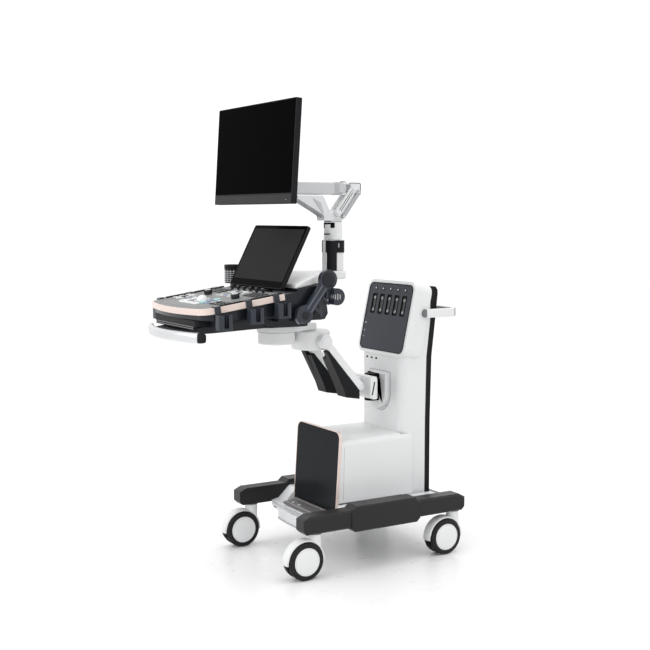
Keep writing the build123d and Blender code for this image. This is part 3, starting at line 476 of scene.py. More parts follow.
# ---------------------------------------------------------------- casters
# (radius about the axle, distance from the caster's middle)
TYRE_PROFILE = (
    (46, 6), (55, 6.2), (59.8, 7.6), (62.2, 10.4), (62.5, 13), (62.5, 15.4), (61.7, 15.8), (61.7, 16.4),
    (62.5, 16.8), (62.5, 19), (62.2, 21.6), (59.8, 24.4), (55, 25.8), (48, 26), (46, 25.4),
)
HUB_PROFILE = (
    (6.2, 6.6), (45.9, 6.6), (45.9, 25.2), (45.2, 26.4), (43.8, 26.8), (42.6, 26.4), (42.1, 25.2),
    (41.5, 25.2), (41.0, 26.2), (38, 26.9), (28, 27.9), (14, 28.5), (0, 28.7),
)
# (radius about the swivel axis, height)
COLLAR_PROFILE = ((11, 146.5), (23.4, 146.5), (24, 147.2), (24, 148.6), (23.4, 149.3), (11, 149.3))
# (sideways, outwards) points of the fender's section
FENDER_SECTION = (
    (-19.5, -4.6), (-18.6, -1.2), (-15, 0.9), (-8, 1.9), (0, 2.2), (8, 1.9), (15, 0.9), (18.6, -1.2),
    (19.5, -4.6), (17.6, -4.6), (17.3, -0.8), (0, 0.1), (-17.3, -0.8), (-17.6, -4.6),
)


def wheel_rings(x, wheel_y, sign, profile):
    """Circles of a wheel profile about the axle, on one side of the caster."""
    plane = side(x, sign)
    return [[plane.at(u, v, w) for u, v in circle(max(r, POLE_R), wheel_y, WHEEL_R, 72)]
            for r, w in profile]


def fender_loop(centre, angle, section):
    """A section of (sideways, outwards) points at an angle about the axle."""
    out = Vector((0, cos(radians(angle)), sin(radians(angle))))
    return [centre + (WHEEL_R + t) * out + s * X for s, t in section]


def build_caster(name, x, axis_y):
    """Crowned tyres, dished hub caps and a wrapped fender for one twin-wheel caster."""
    wheel_y = axis_y - CASTER_TRAIL
    tyres = Shape()
    hubs = Shape()
    for sign in (1, -1):
        tyres.rings(wheel_rings(x, wheel_y, sign, TYRE_PROFILE), joined=True)
        hubs.rings(wheel_rings(x, wheel_y, sign, HUB_PROFILE))
    tyres.piece(f"{name}_tread", f"{name}_wheels", ["tyre"], replaces=[f"{name}_tyres"], sharp=50)
    hubs.piece(f"{name}_cap", f"{name}_wheels", ["hub"], replaces=[f"{name}_hubs"], sharp=50)
    soften(f"{name}_fork", 1.5, ["white"], segments=2)
    centre = side(x).at(wheel_y, WHEEL_R)
    loops = []
    for angle in range(62, 187, 4):
        taper = 1 - 0.35 * max(0, (angle - 165) / 21) ** 2
        loops.append(fender_loop(centre, angle, [(s * taper, 7.1 + t) for s, t in FENDER_SECTION]))
    fender = Shape()
    fender.rings(loops)
    fender.piece(f"{name}_fender", f"{name}_caster", ["white"], sharp=60)
    loops = []
    for angle in range(181, 207, 4):
        half = 15.5 - 0.35 * (angle - 181)
        top = 7.1 - 0.12 * (angle - 181)
        loops.append(fender_loop(centre, angle, [(-half, 2.6), (-half, top), (half, top), (half, 2.6)]))
    tip = Shape()
    tip.rings(loops)
    tip.piece(f"{name}_fender_tip", f"{name}_caster", ["pocket"], bevel=0.8)
    collar = Shape()
    collar.lathe(level(0), (x, axis_y), COLLAR_PROFILE)
    collar.piece(f"{name}_collar", f"{name}_caster", ["seam"], sharp=60)


for caster_name, (caster_x, caster_y) in CASTERS.items():
    build_caster(caster_name, caster_x, caster_y)

# ---------------------------------------------------------------- cart base
soften("side_rails", 2.5, ["rail"])
soften("rail_skirts", 2.5, ["rail"])
soften("front_bumper", 3.0, ["cool_white"], segments=4)
soften("deck_cover", 1.5, ["cool_white"])
soften("lock_pedal", 1.2, ["pedal"])

lip = Shape()
lip_path = [level(113).at(u, -54.9 + 29 * (u / 200) ** 2) for u in range(-116, 117, 8)]
lip.sweep(lip_path, [(-1.2, -3), (1.0, -3), (1.0, 3), (-1.2, 3)], Z)
lip.piece("bumper_lip", "cart", ["pale_grey"], bevel=0.4)

slots = Shape()
for u in (-150, -134, 134, 150):
    slots.prism(BUMPER, rounded(9, 3, 1.4, u, 0, 3), -6, 2.6)
slots.piece("bumper_slots", "cart", ["pocket"])

screws = Shape()
screw_profile = ((4.6, 0.2), (4.6, -0.8), (3.6, -1.8), (0, -2.0))
for sign in (1, -1):
    for y in (-30, 0, 100, 200, 330, 380):
        z = 137 if 40 < y < 289 else 150
        screws.lathe(level(z), (sign * RAIL_X, y), screw_profile, count=20)
screws.piece("rail_screws", "cart", ["metal"])


def lock_icon(shape, plane, u, v, open_shackle):
    """A small padlock: a body and a shackle, closed or swung open."""
    shape.prism(plane, rounded(7, 5.4, 1, u, v, 3), 0.05, 0.45)
    shift = 3.2 if open_shackle else 0
    path = [plane.at(u + shift + 2.2 * cos(a), v + 2.6 + 2.6 * sin(a), 0.25)
            for a in [pi * i / 10 for i in range(11)]]
    shape.sweep(path, [(-0.5, -0.2), (0.5, -0.2), (0.5, 0.2), (-0.5, 0.2)], plane.n)


def outline_bead(shape, plane, outline, height, half, paint=0):
    """A thin raised line that follows a closed outline on a plane."""
    path = [plane.at(u, v, height) for u, v in outline]
    section = [(-half, -half), (half, -half), (half, half), (-half, half)]
    shape.sweep(path, section, plane.n, paint, joined=True)


pedal_marks = Shape()
lock_icon(pedal_marks, PEDAL, -72, -6, False)
lock_icon(pedal_marks, PEDAL, -30, -6, True)
pedal_marks.piece("pedal_marks", "lock_pedal", ["cap_white"])
pedal_line = Shape()
outline_bead(pedal_line, PEDAL, rounded(208, 37, 5, 0, 1.5), 0.1, 0.55)
pedal_line.piece("pedal_line", "lock_pedal", ["copper"], bevel=0.15)

# ---------------------------------------------------------------- computer housing
soften("pc_housing", 2.0, ["white"])
soften("front_trim", 0.8, ["copper"], segments=2)

gap = Shape()
gap_outline = [(49, 202.4), (304, 202.4), (304, 206), (49, 206)]
for sign in (1, -1):
    gap.prism(side(sign * HOUSING_HALF, sign), gap_outline, -0.6, 0.5)
gap.piece("housing_gap", "cart", ["seam"], bevel=0.2)

vents = Shape()
for row in range(9):
    vents.prism(side(-HOUSING_HALF, -1), rounded(92, 3.4, 1.6, 190, 250 + 9 * row, 3), -1, 0.4)
vents.piece("housing_vents", "cart", ["pocket"], bevel=0.15)

seams = Shape()
seam_outline = [(66, 214), (66.8, 214), (70, 396), (69.2, 396)]
for sign in (1, -1):
    seams.prism(side(sign * HOUSING_HALF, sign), seam_outline, -0.4, 0.12)
seams.prism(level(HOUSING_TOP), [(-117, 74), (117, 74), (117, 74.8), (-117, 74.8)], -0.4, 0.12)
seams.piece("housing_seams", "cart", ["seam"])

# ---------------------------------------------------------------- column
soften("column_cover", 5.0, ["white"], segments=4,
       keep=[((-135, 300, 700), (135, 352, 925)), ((-100, 305, 655), (0, 315, 680))])

mount_line = Shape()
mount_path = [(-64, 626), (64, 626), (64, 548)] + arc((0, 548), 64, 0, -180, 24)[1:]
outline_bead(mount_line, front(307.6), mount_path, 0, 0.6)
mount_line.piece("mount_line", "cart", ["seam"])

ports = Shape()
FACE, RING, LAMP, DOT = range(4)
for u in SOCKET_XS:
    ports.stack(HEAD, [(rounded(12.2, 57, 6, u, 45), -4), (rounded(12.2, 57, 6, u, 45), -2.4),
                       (rounded(10.6, 55.4, 5.2, u, 45), -1.8)], FACE)
    for v in (66, 22):
        outline_bead(ports, HEAD, circle(4.6, u, v, 24), -1.2, 0.75, RING)
        ports.lathe(HEAD, (u, v), ((2.4, -1.9), (2.4, -1.2), (1.4, -0.9), (0, -0.8)), RING, 20)
    for row in range(9):
        ports.prism(HEAD, rounded(6.4, 1.4, 0.6, u, 30 + 3.6 * row, 2), -1.9, -1.5, DOT)
    outline_bead(ports, HEAD, circle(6.2, u, 100, 28), 1.1, 0.35, FACE)
    ports.lathe(HEAD, (u - 1, 101), ((2.9, 0.8), (2.9, 1.2), (2.2, 1.5), (0, 1.6)), LAMP, 20)
    outline_bead(ports, HEAD, rounded(25.6, 71.6, 2, u, 45), 0, 0.7, DOT)
for v, tone in ((-28, LAMP), (-56, RING), (-78, RING)):
    ports.lathe(HEAD, (-121, v), ((2.6, -0.2), (2.6, 0.25), (1.8, 0.5), (0, 0.55)), tone, 20)
outline_bead(ports, HEAD, rounded(268, 241, 21), 0.1, 1.2, DOT)
ports.piece("port_details", "cart", ["contact", "pale_grey", "cap_white", "pocket"])

small_ports = Shape()
for u in (-84, -55, -26):
    small_ports.prism(COLUMN, rounded(12.6, 6.8, 3.3, u, 666), -2.8, -0.2)
small_ports.piece("small_ports", "cart", ["pocket"])

back_vents = Shape()
for row in range(8):
    back_vents.prism(rear(441), rounded(120, 4, 1.9, 0, 290 + 10 * row, 3), -1, 0.8)
back_vents.piece("back_vents", "cart", ["pocket"], bevel=0.2)

power_switch = Shape()
power_switch.prism(rear(446), rounded(9, 17, 1.5, 20, 236), -0.5, 1.6)
power_switch.piece("power_switch", "cart", ["cap_dark"], bevel=0.4)

soften("rear_handle", 0.8, ["white", "pale_grey"], paint=lambda c: 1 if c.y > 514 else 0, segments=2,
       sharp=50)
bosses = Shape()
boss_profile = ((14.4, 0), (14.4, 9), (13, 11.4), (8, 12.6), (0, 13))
for sign in (1, -1):
    bosses.lathe(side(sign * 145.6, sign), (396, 835), boss_profile)
bosses.piece("handle_bosses", "cart", ["seam"], sharp=50)

# ---------------------------------------------------------------- console arm
# The lugs past the mount plate (y < 289) and the knuckle's back past y 244 are painted pocket black:
# painted shade in the gap between mount and knuckle.
soften("arm_mount", 2.0, ["white", "pocket"], paint=lambda c: 1 if c.y < 289 else 0)
soften("arm_knuckle", 3.0, ["white", "pocket"], paint=lambda c: 1 if c.y > 244 else 0)
soften("lift_arm_shells", 1.6, ["white"], segments=2, sharp=50)
soften("lift_arm_covers", 3.0, ["black"])

knuckle_marks = Shape()
slot_outline = [(211, 556), (216, 554), (226, 600), (221, 602)]
for sign in (1, -1):
    knuckle_marks.prism(side(sign * 92, sign), slot_outline, -1, 0.5)
for z in (553, 578):
    knuckle_marks.prism(level(z), rounded(114, 18, 4, 0, 251), 0, 22)
knuckle_marks.piece("knuckle_slots", "knuckle", ["pocket"], bevel=0.8)

link_ring = Shape()
link_ring.lathe(level(0), (0, -112), ((60, 785.2), (62.8, 785.2), (62.8, 786.8), (60, 786.8)))
link_ring.piece("link_ring", "swivel_link", ["seam"], sharp=60)

pivot_caps = Shape()
cap_profile = ((19, -0.4), (19, 1.2), (17.5, 2.4), (8, 3), (0, 3.1))
for sign in (1, -1):
    pivot_caps.lathe(side(sign * 95, sign), (28, 751), cap_profile)
pivot_caps.piece("pivot_caps", "lift_arm", ["cool_white"], sharp=40)

# ---------------------------------------------------------------- console
soften("console_trim", 1.6, ["copper"], segments=2, sharp=40)
soften("console_hood", 7.0, ["white"], segments=5)
soften("probe_holders", 1.6, ["arm_black"], segments=2, sharp=40)
soften("keyboard_drawer", 1.2, ["black"], segments=2, sharp=40)

KEY_LOOKS = ["cap_dark", "cap_grey", "cap_white", "cap_cyan", "cap_blue"]
DARK, GREY, WHITE, CYAN, BLUE = range(5)
KEY_TONES = {
    "dark": (DARK,), "light": (WHITE,), "mixed": (GREY, DARK, GREY, WHITE), "lit": (CYAN, BLUE, CYAN),
}


def keycap(shape, plane, u, v, width, depth, top, paint):
    """A keycap with a narrower, slightly dished top."""
    levels = [(rounded(width, depth, 1.6, u, v, 3), -5.5),
              (rounded(width, depth, 1.6, u, v, 3), top - 1.2),
              (rounded(width - 0.8, depth - 0.8, 1.4, u, v, 3), top - 0.4),
              (rounded(width - 2.2, depth - 2.2, 1.0, u, v, 3), top),
              (rounded(width - 5, depth - 5, 0.6, u, v, 3), top - 0.25)]
    shape.stack(plane, levels, paint)


def key_tone(tone, block, column, row):
    """Look of one key, picked from its block's tones."""
    choices = KEY_TONES[tone]
    step = column + 2 * row + block if tone == "mixed" else row
    return choices[step % len(choices)]


keys = Shape()
for block, (bu, bv, columns, rows, pitch_u, pitch_v, width, depth, tone) in enumerate(KEY_BLOCKS):
    for column in range(columns):
        for row in range(rows):
            u = bu + (column - (columns - 1) / 2) * pitch_u
            v = bv + (row - (rows - 1) / 2) * pitch_v
            look = key_tone(tone, block, column, row)
            keycap(keys, DECK, u, v, width, depth, 3.2, look)
            mark = WHITE if look in (DARK, BLUE) else DARK
            keys.prism(DECK, rounded(width * 0.32, 0.9, 0.3, u, v, 2), 2.9, 3.3, mark)
keys.piece("console_keycaps", "control_keys", KEY_LOOKS, replaces=["control_keys"], sharp=50)

ball_ring = Shape()
ring_profile = ((22.2, 0.1), (22.6, 1.6), (24, 2.4), (26.4, 2.0), (27.4, 0.4), (27.4, -0.4), (22.2, -0.4))
ring_loops = [[DECK.at(u, v, w) for u, v in circle(r, 0, BALL_V, 56)] for r, w in ring_profile]
ball_ring.rings(ring_loops, joined=True)
ball_ring.piece("trackball_ring", "console", ["silver"], sharp=60)

for knob_name, (knob_u, knob_v) in KNOBS.items():
    knob = Shape()
    teeth = [(knob_u + r * cos(a), knob_v + r * sin(a))
             for a, r in [(2 * pi * i / 60, 13.7 if i % 2 else 12.9) for i in range(60)]]
    knob.stack(DECK, [(circle(12.4, knob_u, knob_v, 60), 1.2), (teeth, 2.4), (teeth, 13.4),
                      (circle(12.2, knob_u, knob_v, 60), 15.2), (circle(10.6, knob_u, knob_v, 60), 15.6)])
    knob.lathe(DECK, (knob_u, knob_v), ((9.6, 15.2), (9.6, 16.2), (8.8, 16.6), (0, 16.7)), 1, 40)
    knob.prism(DECK, rounded(5, 5, 1, knob_u, knob_v, 3), 16.4, 17.0, 0)
    knob.piece(f"{knob_name}_cap", knob_name, ["cap_dark", "cap_white"], replaces=[knob_name], sharp=40)

toggle_caps = Shape()
for u in TOGGLE_US:
    stem, paddle = rounded(11, 6, 1, u, TOGGLE_V, 3), rounded(15, 9, 2, u, TOGGLE_V, 3)
    crown = rounded(13, 7, 1.6, u, TOGGLE_V, 3)
    toggle_caps.stack(DECK, [(stem, -3.4), (stem, 6), (paddle, 9), (paddle, 13.4), (crown, 14.6)])
    toggle_caps.prism(DECK, rounded(1.4, 5.5, 0.5, u, TOGGLE_V, 2), 14.4, 14.9, 1)
toggle_caps.piece("toggle_caps", "toggles", ["cap_dark", "cap_white"], replaces=["toggles"], sharp=40)

DECK_SPANS = ((-86, -8), (20, 89), (116, 132))
deck_strips = Shape()
for sign in (1, -1):
    for start, end in DECK_SPANS:
        deck_strips.prism(DECK, rounded(10, end - start, 3, sign * 207, (start + end) / 2), -0.5, 4.2)
    deck_strips.prism(DECK, rounded(4, 150, 1.5, sign * 196, 45), -0.5, 0.7)
deck_strips.prism(DECK, rounded(250, 4, 1.5, 0, 104), -0.5, 0.6)
deck_strips.piece("deck_strips", "console", ["black"], bevel=1.0)

INNER_US, OUTER_US = (-39, -13, 13, 39), (-92, 92)
# v, us and depth of each row of low pads
PAD_ROWS = (
    (44, INNER_US, 10), (28, INNER_US, 10), (-32, OUTER_US, 12), (-54, OUTER_US, 12), (-76, OUTER_US, 12),
)
PAD_TURNS = (0, 1, 0, 2)
PAD_MARK = 3
PAD_W = 20
pads = Shape()
for row, (v, pad_us, depth) in enumerate(PAD_ROWS):
    for column, u in enumerate(pad_us):
        look = PAD_TURNS[(row + 3 * column) % 4]
        foot = rounded(PAD_W, depth, 3, u, v)
        pads.stack(DECK, [(foot, -0.4), (foot, 0.9), (rounded(PAD_W - 2, depth - 2, 2.4, u, v), 1.5)], look)
        pads.prism(DECK, rounded(PAD_W * 0.4, 1.4, 0.6, u, v, 2), 1.3, 1.8, PAD_MARK)
pads.piece("deck_pads", "console", ["silver", "cap_grey", "cap_blue", "cap_white"])

deck_lines = Shape()
outline_bead(deck_lines, DECK, rounded(318, 250, 40, 0, -15), 0.05, 0.3)
deck_lines.piece("deck_lines", "console", ["seam"])

grilles = Shape()
for sign in (1, -1):
    plane = side(sign * TUB_HALF, sign)
    grilles.prism(plane, rounded(60, 3, 1.4, -150, 862, 3), -0.6, 0.7)
    for row in range(5):
        for column in range(9):
            grilles.prism(plane, rounded(3, 3, 1.4, -100 + 6 * column, 890 + 6 * row, 2), -0.6, 0.5)
grilles.piece("tub_grilles", "console", ["pocket"])

liners = Shape()
rim_section = [(-1.6, -0.8), (1.6, -0.8), (1.6, 0.8), (-1.6, 0.8)]
for sign in (1, -1):
    for cup_y in CUP_YS:
        rim_plane = level(deck_height(cup_y) - CUP_DROP + 0.3)
        path = [rim_plane.at(u, v) for u, v in rounded(34, 44, 8.5, sign * CUP_X, cup_y)]
        open_path = [p for p in path if abs(p.y - cup_y) >= 9 or sign * p.x <= CUP_X + 7]
        liners.sweep(open_path, rim_section, Z)
liners.piece("cup_rims", "console", ["cap_dark"], bevel=0.4)

lattice = Shape()
hoop_profile = ((28.6, -1.1), (30.0, -1.1), (30.3, 0), (30.0, 1.1), (28.6, 1.1))
for z in range(944, 984, 7):
    lattice.lathe(level(z), GEL_CUP, hoop_profile)
for u, v in circle(29.2, *GEL_CUP, 16):
    lattice.prism(level(0), rounded(2.2, 2.2, 0.6, u, v, 2), 940, 985)
lattice.piece("cup_lattice", "console", ["pale_grey"], sharp=50)

keyboard = Shape()
for column in range(14):
    for row in range(6):
        u = (column - 6.5) * 21
        v = -372 + (row - 2.5) * 20
        skirt = rounded(18, 17, 1.5, u, v, 3)
        rim, dish = rounded(16, 15, 1.2, u, v, 3), rounded(12, 11, 1, u, v, 3)
        keyboard.stack(level(0), [(skirt, 846.4), (skirt, 849.4), (rim, 850.3), (dish, 850.1)])
keyboard.piece("keyboard_caps", "keyboard_keys", ["cap_dark"], replaces=["keyboard_keys"], sharp=50)

drawer_lines = Shape()
for z in (825, 831):
    drawer_lines.prism(level(z), rounded(286, 1.6, 0.7, 0, -482.1, 2), -0.5, 0.5)
drawer_lines.piece("drawer_lines", "keyboard_drawer", ["cap_grey"])


def handle_point(t):
    """Middle of the front handle's bar, from end to end as t goes from -1 to 1."""
    return Vector((t * HANDLE_HALF, -524 + 50.8 * t * t, 801))


handle_loops = []
for step in range(41):
    t = -1 + step / 20
    along = (handle_point(t + 0.01) - handle_point(t - 0.01)).normalized()
    across = along.cross(Z)
    end = max(0.0, (abs(t) - 0.90) / 0.10)
    half_w = 10.0 - 2.6 * end ** 2
    half_h = 16.4 - 3.4 * end ** 2
    outline = rounded(2 * half_w, 2 * half_h, min(half_w, half_h) * 0.86, 0, 0, 6)
    handle_loops.append([handle_point(t) + s * across + h * Z for s, h in outline])
handle = Shape()
handle.rings(handle_loops[2:-2])
handle.piece("handle_bar", "console", ["silver"], replaces=["front_handle"], sharp=60)
handle_ends = Shape()
for loops in (handle_loops[:3], handle_loops[-3:]):
    handle_ends.rings(loops)
handle_ends.piece("handle_ends", "console", ["black"], bevel=2.0, segments=3, sharp=50)

# ---------------------------------------------------------------- touchscreen
soften("touch_housing", 1.8, ["black"], keep=[((-62, -185, 930), (62, -150, 965))])
touch_w, touch_h = TOUCH_SIZE
display = Shape()
display.prism(TOUCH, rounded(touch_w - 24, touch_h - 38, 3, 0, 6), 0.0, 0.25)
display.piece("touch_display", "touchscreen", ["display"])

# ---------------------------------------------------------------- cable arm
ARM_FOOT = Vector(CABLE_FOOT)
ARM_SHOULDER = Vector(CABLE_SHOULDER)
SHOULDER_R = 31
NECK_HALF = 15
ARM_THICK = 18
ARM_RUN = (ARM_SHOULDER - ARM_FOOT).length
ARM_ALONG = (ARM_SHOULDER - ARM_FOOT) / ARM_RUN
ARM_ACROSS = Vector((-ARM_ALONG.y, ARM_ALONG.x))


def arm_half(s, foot_r):
    """Half the width of the cable arm at a distance s along it: foot, slim neck and shoulder, blended."""
    foot = max(foot_r ** 2 - s ** 2, 0) ** 0.5
    shoulder = max(SHOULDER_R ** 2 - (s - ARM_RUN) ** 2, 0) ** 0.5
    neck = NECK_HALF if 0 < s < ARM_RUN else 0
    return (foot ** 5 + shoulder ** 5 + neck ** 5) ** 0.2


def arm_edge(sign, foot_r):
    """Points along one edge of the cable arm, from the foot's tip to the shoulder's."""
    points = []
    for i in range(61):
        s = -foot_r + (ARM_RUN + SHOULDER_R + foot_r) * (1 - cos(pi * i / 60)) / 2
        points.append(tuple(ARM_FOOT + s * ARM_ALONG + sign * arm_half(s, foot_r) * ARM_ACROSS))
    return points


arm_body = Shape()
arm_body.prism(side(CABLE_X), arm_edge(-1, 25) + arm_edge(1, 33)[::-1], 0, ARM_THICK)
hook_plane = side(CABLE_X + 4)
for hook in ((-62, 902), (-90, 870)):
    tilt = Vector((cos(radians(-40)), sin(radians(-40))))
    outline = [Vector(hook) + u * tilt + v * Vector((-tilt.y, tilt.x)) for u, v in rounded(34, 9, 2)]
    arm_body.prism(hook_plane, [tuple(point) for point in outline], 0, 10)
arm_body.prism(hook_plane, rounded(18, 50, 2, -54, 930), 0, 10)
arm_body.prism(side(214.5), circle(8, *ARM_FOOT, 32), 0, 14)
arm_body.piece("cable_arm_body", "cable_arm", ["arm_black"], replaces=["cable_arm"], bevel=2.6, segments=3)

arm_plane = side(CABLE_X + ARM_THICK)
arm_caps = Shape()
arm_caps.lathe(arm_plane, CABLE_FOOT, ((14, -0.5), (14, 1.2), (12.4, 2.2), (6, 2.8), (0, 2.9)))
arm_caps.lathe(arm_plane, CABLE_SHOULDER, ((24, -0.5), (24, 2.4), (21.5, 4.4), (12, 6.0), (0, 6.4)))
arm_caps.piece("arm_caps", "cable_arm", ["tub"], sharp=50)

# Two lighter ribs along the cable arm's outer face: painted highlights.
highlight_ribs = Shape()
rib_section = [(-2.2, -1), (-1.2, 1.6), (1.2, 1.6), (2.2, -1)]
for offset in (-8.5, 8.5):
    path = [ARM_FOOT + s * ARM_ALONG + offset * ARM_ACROSS for s in (20, 44, 68, 92, 112)]
    highlight_ribs.sweep([arm_plane.at(*point, 0.2) for point in path], rib_section, X)
highlight_ribs.piece("arm_highlight_ribs", "cable_arm", ["arm_edge"], bevel=0.6)

comb_ribs = Shape()
for x in (228.4, 239.4, 250.4):
    comb_ribs.lathe(side(x), COMB, ((11.6, 0), (12.6, 0.8), (12.6, 5.2), (11.6, 6.2)))
for shift, height in ((-9, 15.5), (0, 20), (9, 15.5)):
    comb_ribs.prism(side(261), rounded(3.6, height, 1.6, COMB[0] + shift, COMB[1]), -0.5, 0.5)
comb_ribs.piece("comb_ribs", "cable_arm", ["pale_grey"], sharp=50)

# ---------------------------------------------------------------- monitor post and arm


def post_paint(c):
    """Black for the collar of the post, white elsewhere."""
    return 1 if COLLAR_Z[0] < c.z < COLLAR_Z[1] else 0


soften("monitor_post", 0.8, ["white", "black"], paint=post_paint, segments=2, sharp=40)

# A black band wraps each front corner of the post and runs a little way along its side.
BAND_HEIGHT = 62
corner_y, band_end_y = 98, 107
band_turns = [(radians(12 + 7.8 * i), corner_y) for i in range(11)] + [(pi / 2, band_end_y)]
line_outline = [(107.4, POST_FOOT), (109.4, POST_FOOT), (109.4, 1047), (107.4, 1047)]
post_bands = Shape()
for sign in (1, -1):
    loops = []
    for a, y in band_turns:
        out = Vector((sign * sin(a), -cos(a), 0))
        inner = Vector((sign * (POST_HALF_X - POST_ROUND), y, POST_FOOT)) + (POST_ROUND - 0.5) * out
        outer = inner + 1.4 * out
        loops.append([inner, outer, outer + BAND_HEIGHT * Z, inner + BAND_HEIGHT * Z])
    post_bands.rings(loops)
    post_bands.prism(side(sign * POST_HALF_X, sign), line_outline, -0.4, 1.2, 1)
    # A small pale grey bar on each side of the black collar: a painted highlight.
    post_bands.prism(side(sign * (POST_HALF_X + 3), sign), rounded(4, 15, 1.2, 114, 1072), -0.4, 0.4, 1)
post_bands.piece("post_bands", "console", ["black", "pale_grey"], bevel=0.3)

soften("pan_head", 1.6, ["white", "cool_white"], paint=lambda c: 1 if c.y < 72 else 0, segments=2, sharp=40)
soften("monitor_lift_arm", 2.2, ["white"], sharp=40)
soften("parallel_link", 1.6, ["pale_grey"], sharp=40)
soften("elbow_block", 2.0, ["white"], sharp=40)
soften("elbow_bar", 1.5, ["bar"], sharp=50)


def drum_patch(shape, start, end, low, high, thick, paint=0):
    """A curved plate on the pan head's drum, between two angles and two heights."""
    centre = Vector((0, POST_Y, 0))
    inner, outer = PAN_R - 0.5, PAN_R - 0.5 + thick
    loops = []
    for x, y in arc((0, 0), 1, start, end, 12):
        out = Vector((x, y, 0))
        loops.append([centre + r * out + z * Z
                      for r, z in ((inner, low), (outer, low), (outer, high), (inner, high))])
    shape.rings(loops, paint)


lock = Shape()
drum_patch(lock, -112, -22, 1131, 1149, 1.4)
drum_patch(lock, -88, -48, 1117, 1143, 2.6, 1)
drum_patch(lock, -112, -50, 1108, 1112, 1.4)
drum_patch(lock, -118, 60, 1152, 1153, 0.8)
lock.piece("pan_lock", "pan_head", ["pocket", "white"], bevel=0.4)

fins = Shape()
fin_outline = [(63, 1159), (55, 1173), (30, 1187.5), (0, 1203.5), (-30, 1219.5), (-40, 1225.5),
               (-40, 1229), (-30, 1224), (0, 1208), (30, 1192), (58, 1178), (68, 1162)]
for x in (-20, -7, 6, 19):
    fins.prism(side(x), fin_outline, 0, 2.2)
fins.piece("cradle_fins", "pan_head", ["pale_grey"], bevel=0.5)

gussets = Shape()
gusset_outline = [(16, 1232), (48, 1216), (60, 1180), (50, 1184), (34, 1206)]
for sign in (1, -1):
    gussets.prism(side(sign * LINK_HALF, sign), gusset_outline, -0.4, 1.6)
gussets.piece("cradle_gussets", "pan_head", ["cool_grey"], bevel=0.5)

arm_grooves = Shape()
base = Vector((0, *BASE_PIVOT))
elbow = Vector((0, *ELBOW_PIVOT))
along = (elbow - base).normalized()
groove_section = [(-1.2, -0.6), (1.2, -0.6), (1.2, 0.3), (-1.2, 0.3)]
for sign in (1, -1):
    for shift in (-3.4, 3.4):
        offset = shift * along.cross(X) + sign * LINK_HALF * X
        start = base + 12 * along + offset
        end = elbow - 12 * along + offset
        arm_grooves.sweep([start, start.lerp(end, 0.5), end], groove_section, sign * X)
arm_grooves.piece("arm_grooves", "monitor_lift_arm", ["cap_dark"], bevel=0.2)

pins = Shape()
pin_profile = ((8, -0.5), (8, 1.6), (6.6, 2.6), (0, 2.8))
for sign in (1, -1):
    for pivot in (BASE_PIVOT, ELBOW_PIVOT):
        pins.lathe(side(sign * LINK_HALF, sign), pivot, pin_profile, count=32)
pins.piece("arm_pin_caps", "monitor_lift_arm", ["cool_white"], sharp=40)

block_lines = Shape()
for sign in (1, -1):
    outline_bead(block_lines, side(sign * 13, sign), rounded(44, 39, 5, 192, BAR_Z), 0.2, 0.9)
block_lines.piece("elbow_lines", "elbow_block", ["cap_dark"], bevel=0.2)

block_cap = Shape()
block_cap.lathe(level(1286), (0, 150), ((11, -0.4), (11, 2.2), (9.4, 4.2), (5, 5.2), (0, 5.4)))
block_cap.piece("elbow_cap", "elbow_block", ["pale_grey"], sharp=40)

sleeve = Shape()
sleeve_outline = rounded(27.6, 44.4, 5.5)
sleeve.rings([[Vector((u, y, BAR_Z + v)) for u, v in sleeve_outline] for y in (110, 111, 128, 129)])
sleeve.piece("bar_sleeve", "elbow_bar", ["pale_grey"], bevel=0.5)

# ---------------------------------------------------------------- monitor
soften("monitor_housing", 1.6, ["black"], keep=[((-40, -165, 1320), (40, -110, 1370))], segments=2)
screen_w, screen_h = MONITOR_SIZE
chin = Shape()
chin.prism(MONITOR, rounded(screen_w - 5, 26, 2, 0, -screen_h / 2 + 16), -0.5, 0.5, 0)
chin.prism(MONITOR, rounded(screen_w - 7, 0.8, 0.3, 0, -screen_h / 2 + 29.4, 2), -0.2, 0.4, 1)
chin.prism(MONITOR, rounded(5, 1.4, 0.6, 236, -screen_h / 2 + 13, 3), 0.3, 0.9, 2)
chin.piece("monitor_chin", "monitor", ["chin", "pocket", "cap_grey"], bevel=0.2)

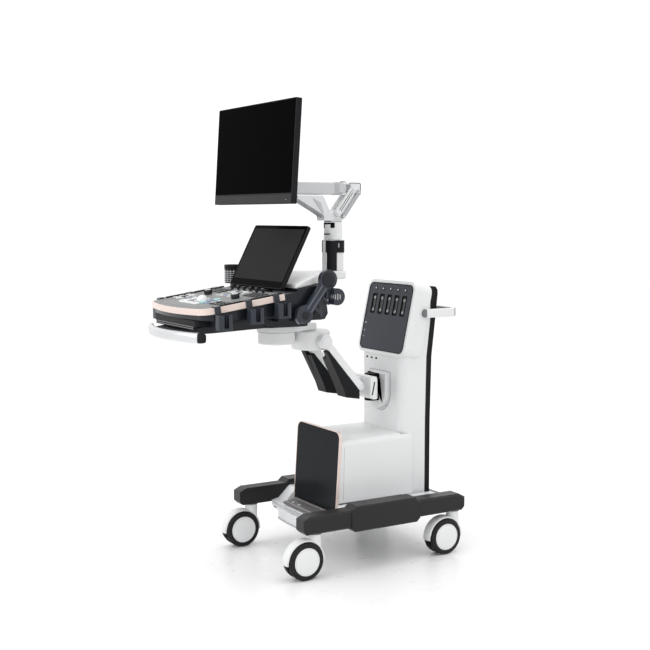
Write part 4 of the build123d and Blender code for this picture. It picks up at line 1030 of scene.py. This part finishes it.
back_plane = Plane(MONITOR.origin, X, MONITOR.y, -MONITOR.n)
monitor_back = Shape()
for row in range(7):
    for sign in (1, -1):
        monitor_back.prism(back_plane, rounded(62, 3, 1.4, sign * 95, 40 + 6 * row, 3), 35, 36.6)
for u in (-45, 45):
    for v in (-72, 18):
        monitor_back.lathe(back_plane, (u, v), ((3.4, 41.4), (3.4, 43.2), (2.4, 43.8), (0, 43.9)), 0, 20)
monitor_back.piece("monitor_vents", "monitor", ["pocket"])

# ---------------------------------------------------------------- floor, light and camera
FLOOR_R = 60
floor_mesh = bpy.data.meshes.new("floor")
floor_mesh.from_pydata([(x, y, 0) for x, y in circle(FLOOR_R, count=64)], [], [tuple(range(64))])
floor = bpy.data.objects.new("floor", floor_mesh)
floor_mesh.materials.append(moulded("studio_floor", (0.94, 0.94, 0.94), 0.30, grain=0.4, relief=0.0,
                                    mottle=0.004, specular=0.2))
bpy.context.scene.collection.objects.link(floor)

world = bpy.data.worlds.new("studio")
world.use_nodes = True
background = world.node_tree.nodes["Background"]
background.inputs["Color"].default_value = (1, 1, 1, 1)
background.inputs["Strength"].default_value = 1.13
bpy.context.scene.world = world
bpy.context.scene.view_settings.view_transform = "Standard"


def softbox(name, place, target, size, power):
    """A large rectangular light that faces a point."""
    data = bpy.data.lights.new(name, "AREA")
    data.shape = "RECTANGLE"
    data.size, data.size_y = size
    data.energy = power
    lamp = bpy.data.objects.new(name, data)
    lamp.location = place
    lamp.rotation_euler = (Vector(target) - Vector(place)).to_track_quat("-Z", "Y").to_euler()
    bpy.context.scene.collection.objects.link(lamp)


softbox("front", (-0.8, -4.0, 1.9), (0, 0, 0.8), (3.0, 2.4), 42)
softbox("overhead", (0, 0.2, 4.2), (0, 0.1, 0), (3.0, 3.0), 42)

camera_data = bpy.data.cameras.new("camera")
camera_data.lens = 62.60
camera_data.sensor_width = 36
camera = bpy.data.objects.new("camera", camera_data)
camera.location = (3.3117, -1.9248, 1.1708)
camera.rotation_euler = (radians(84.5), 0, radians(58.83))
bpy.context.scene.collection.objects.link(camera)
bpy.context.scene.camera = camera
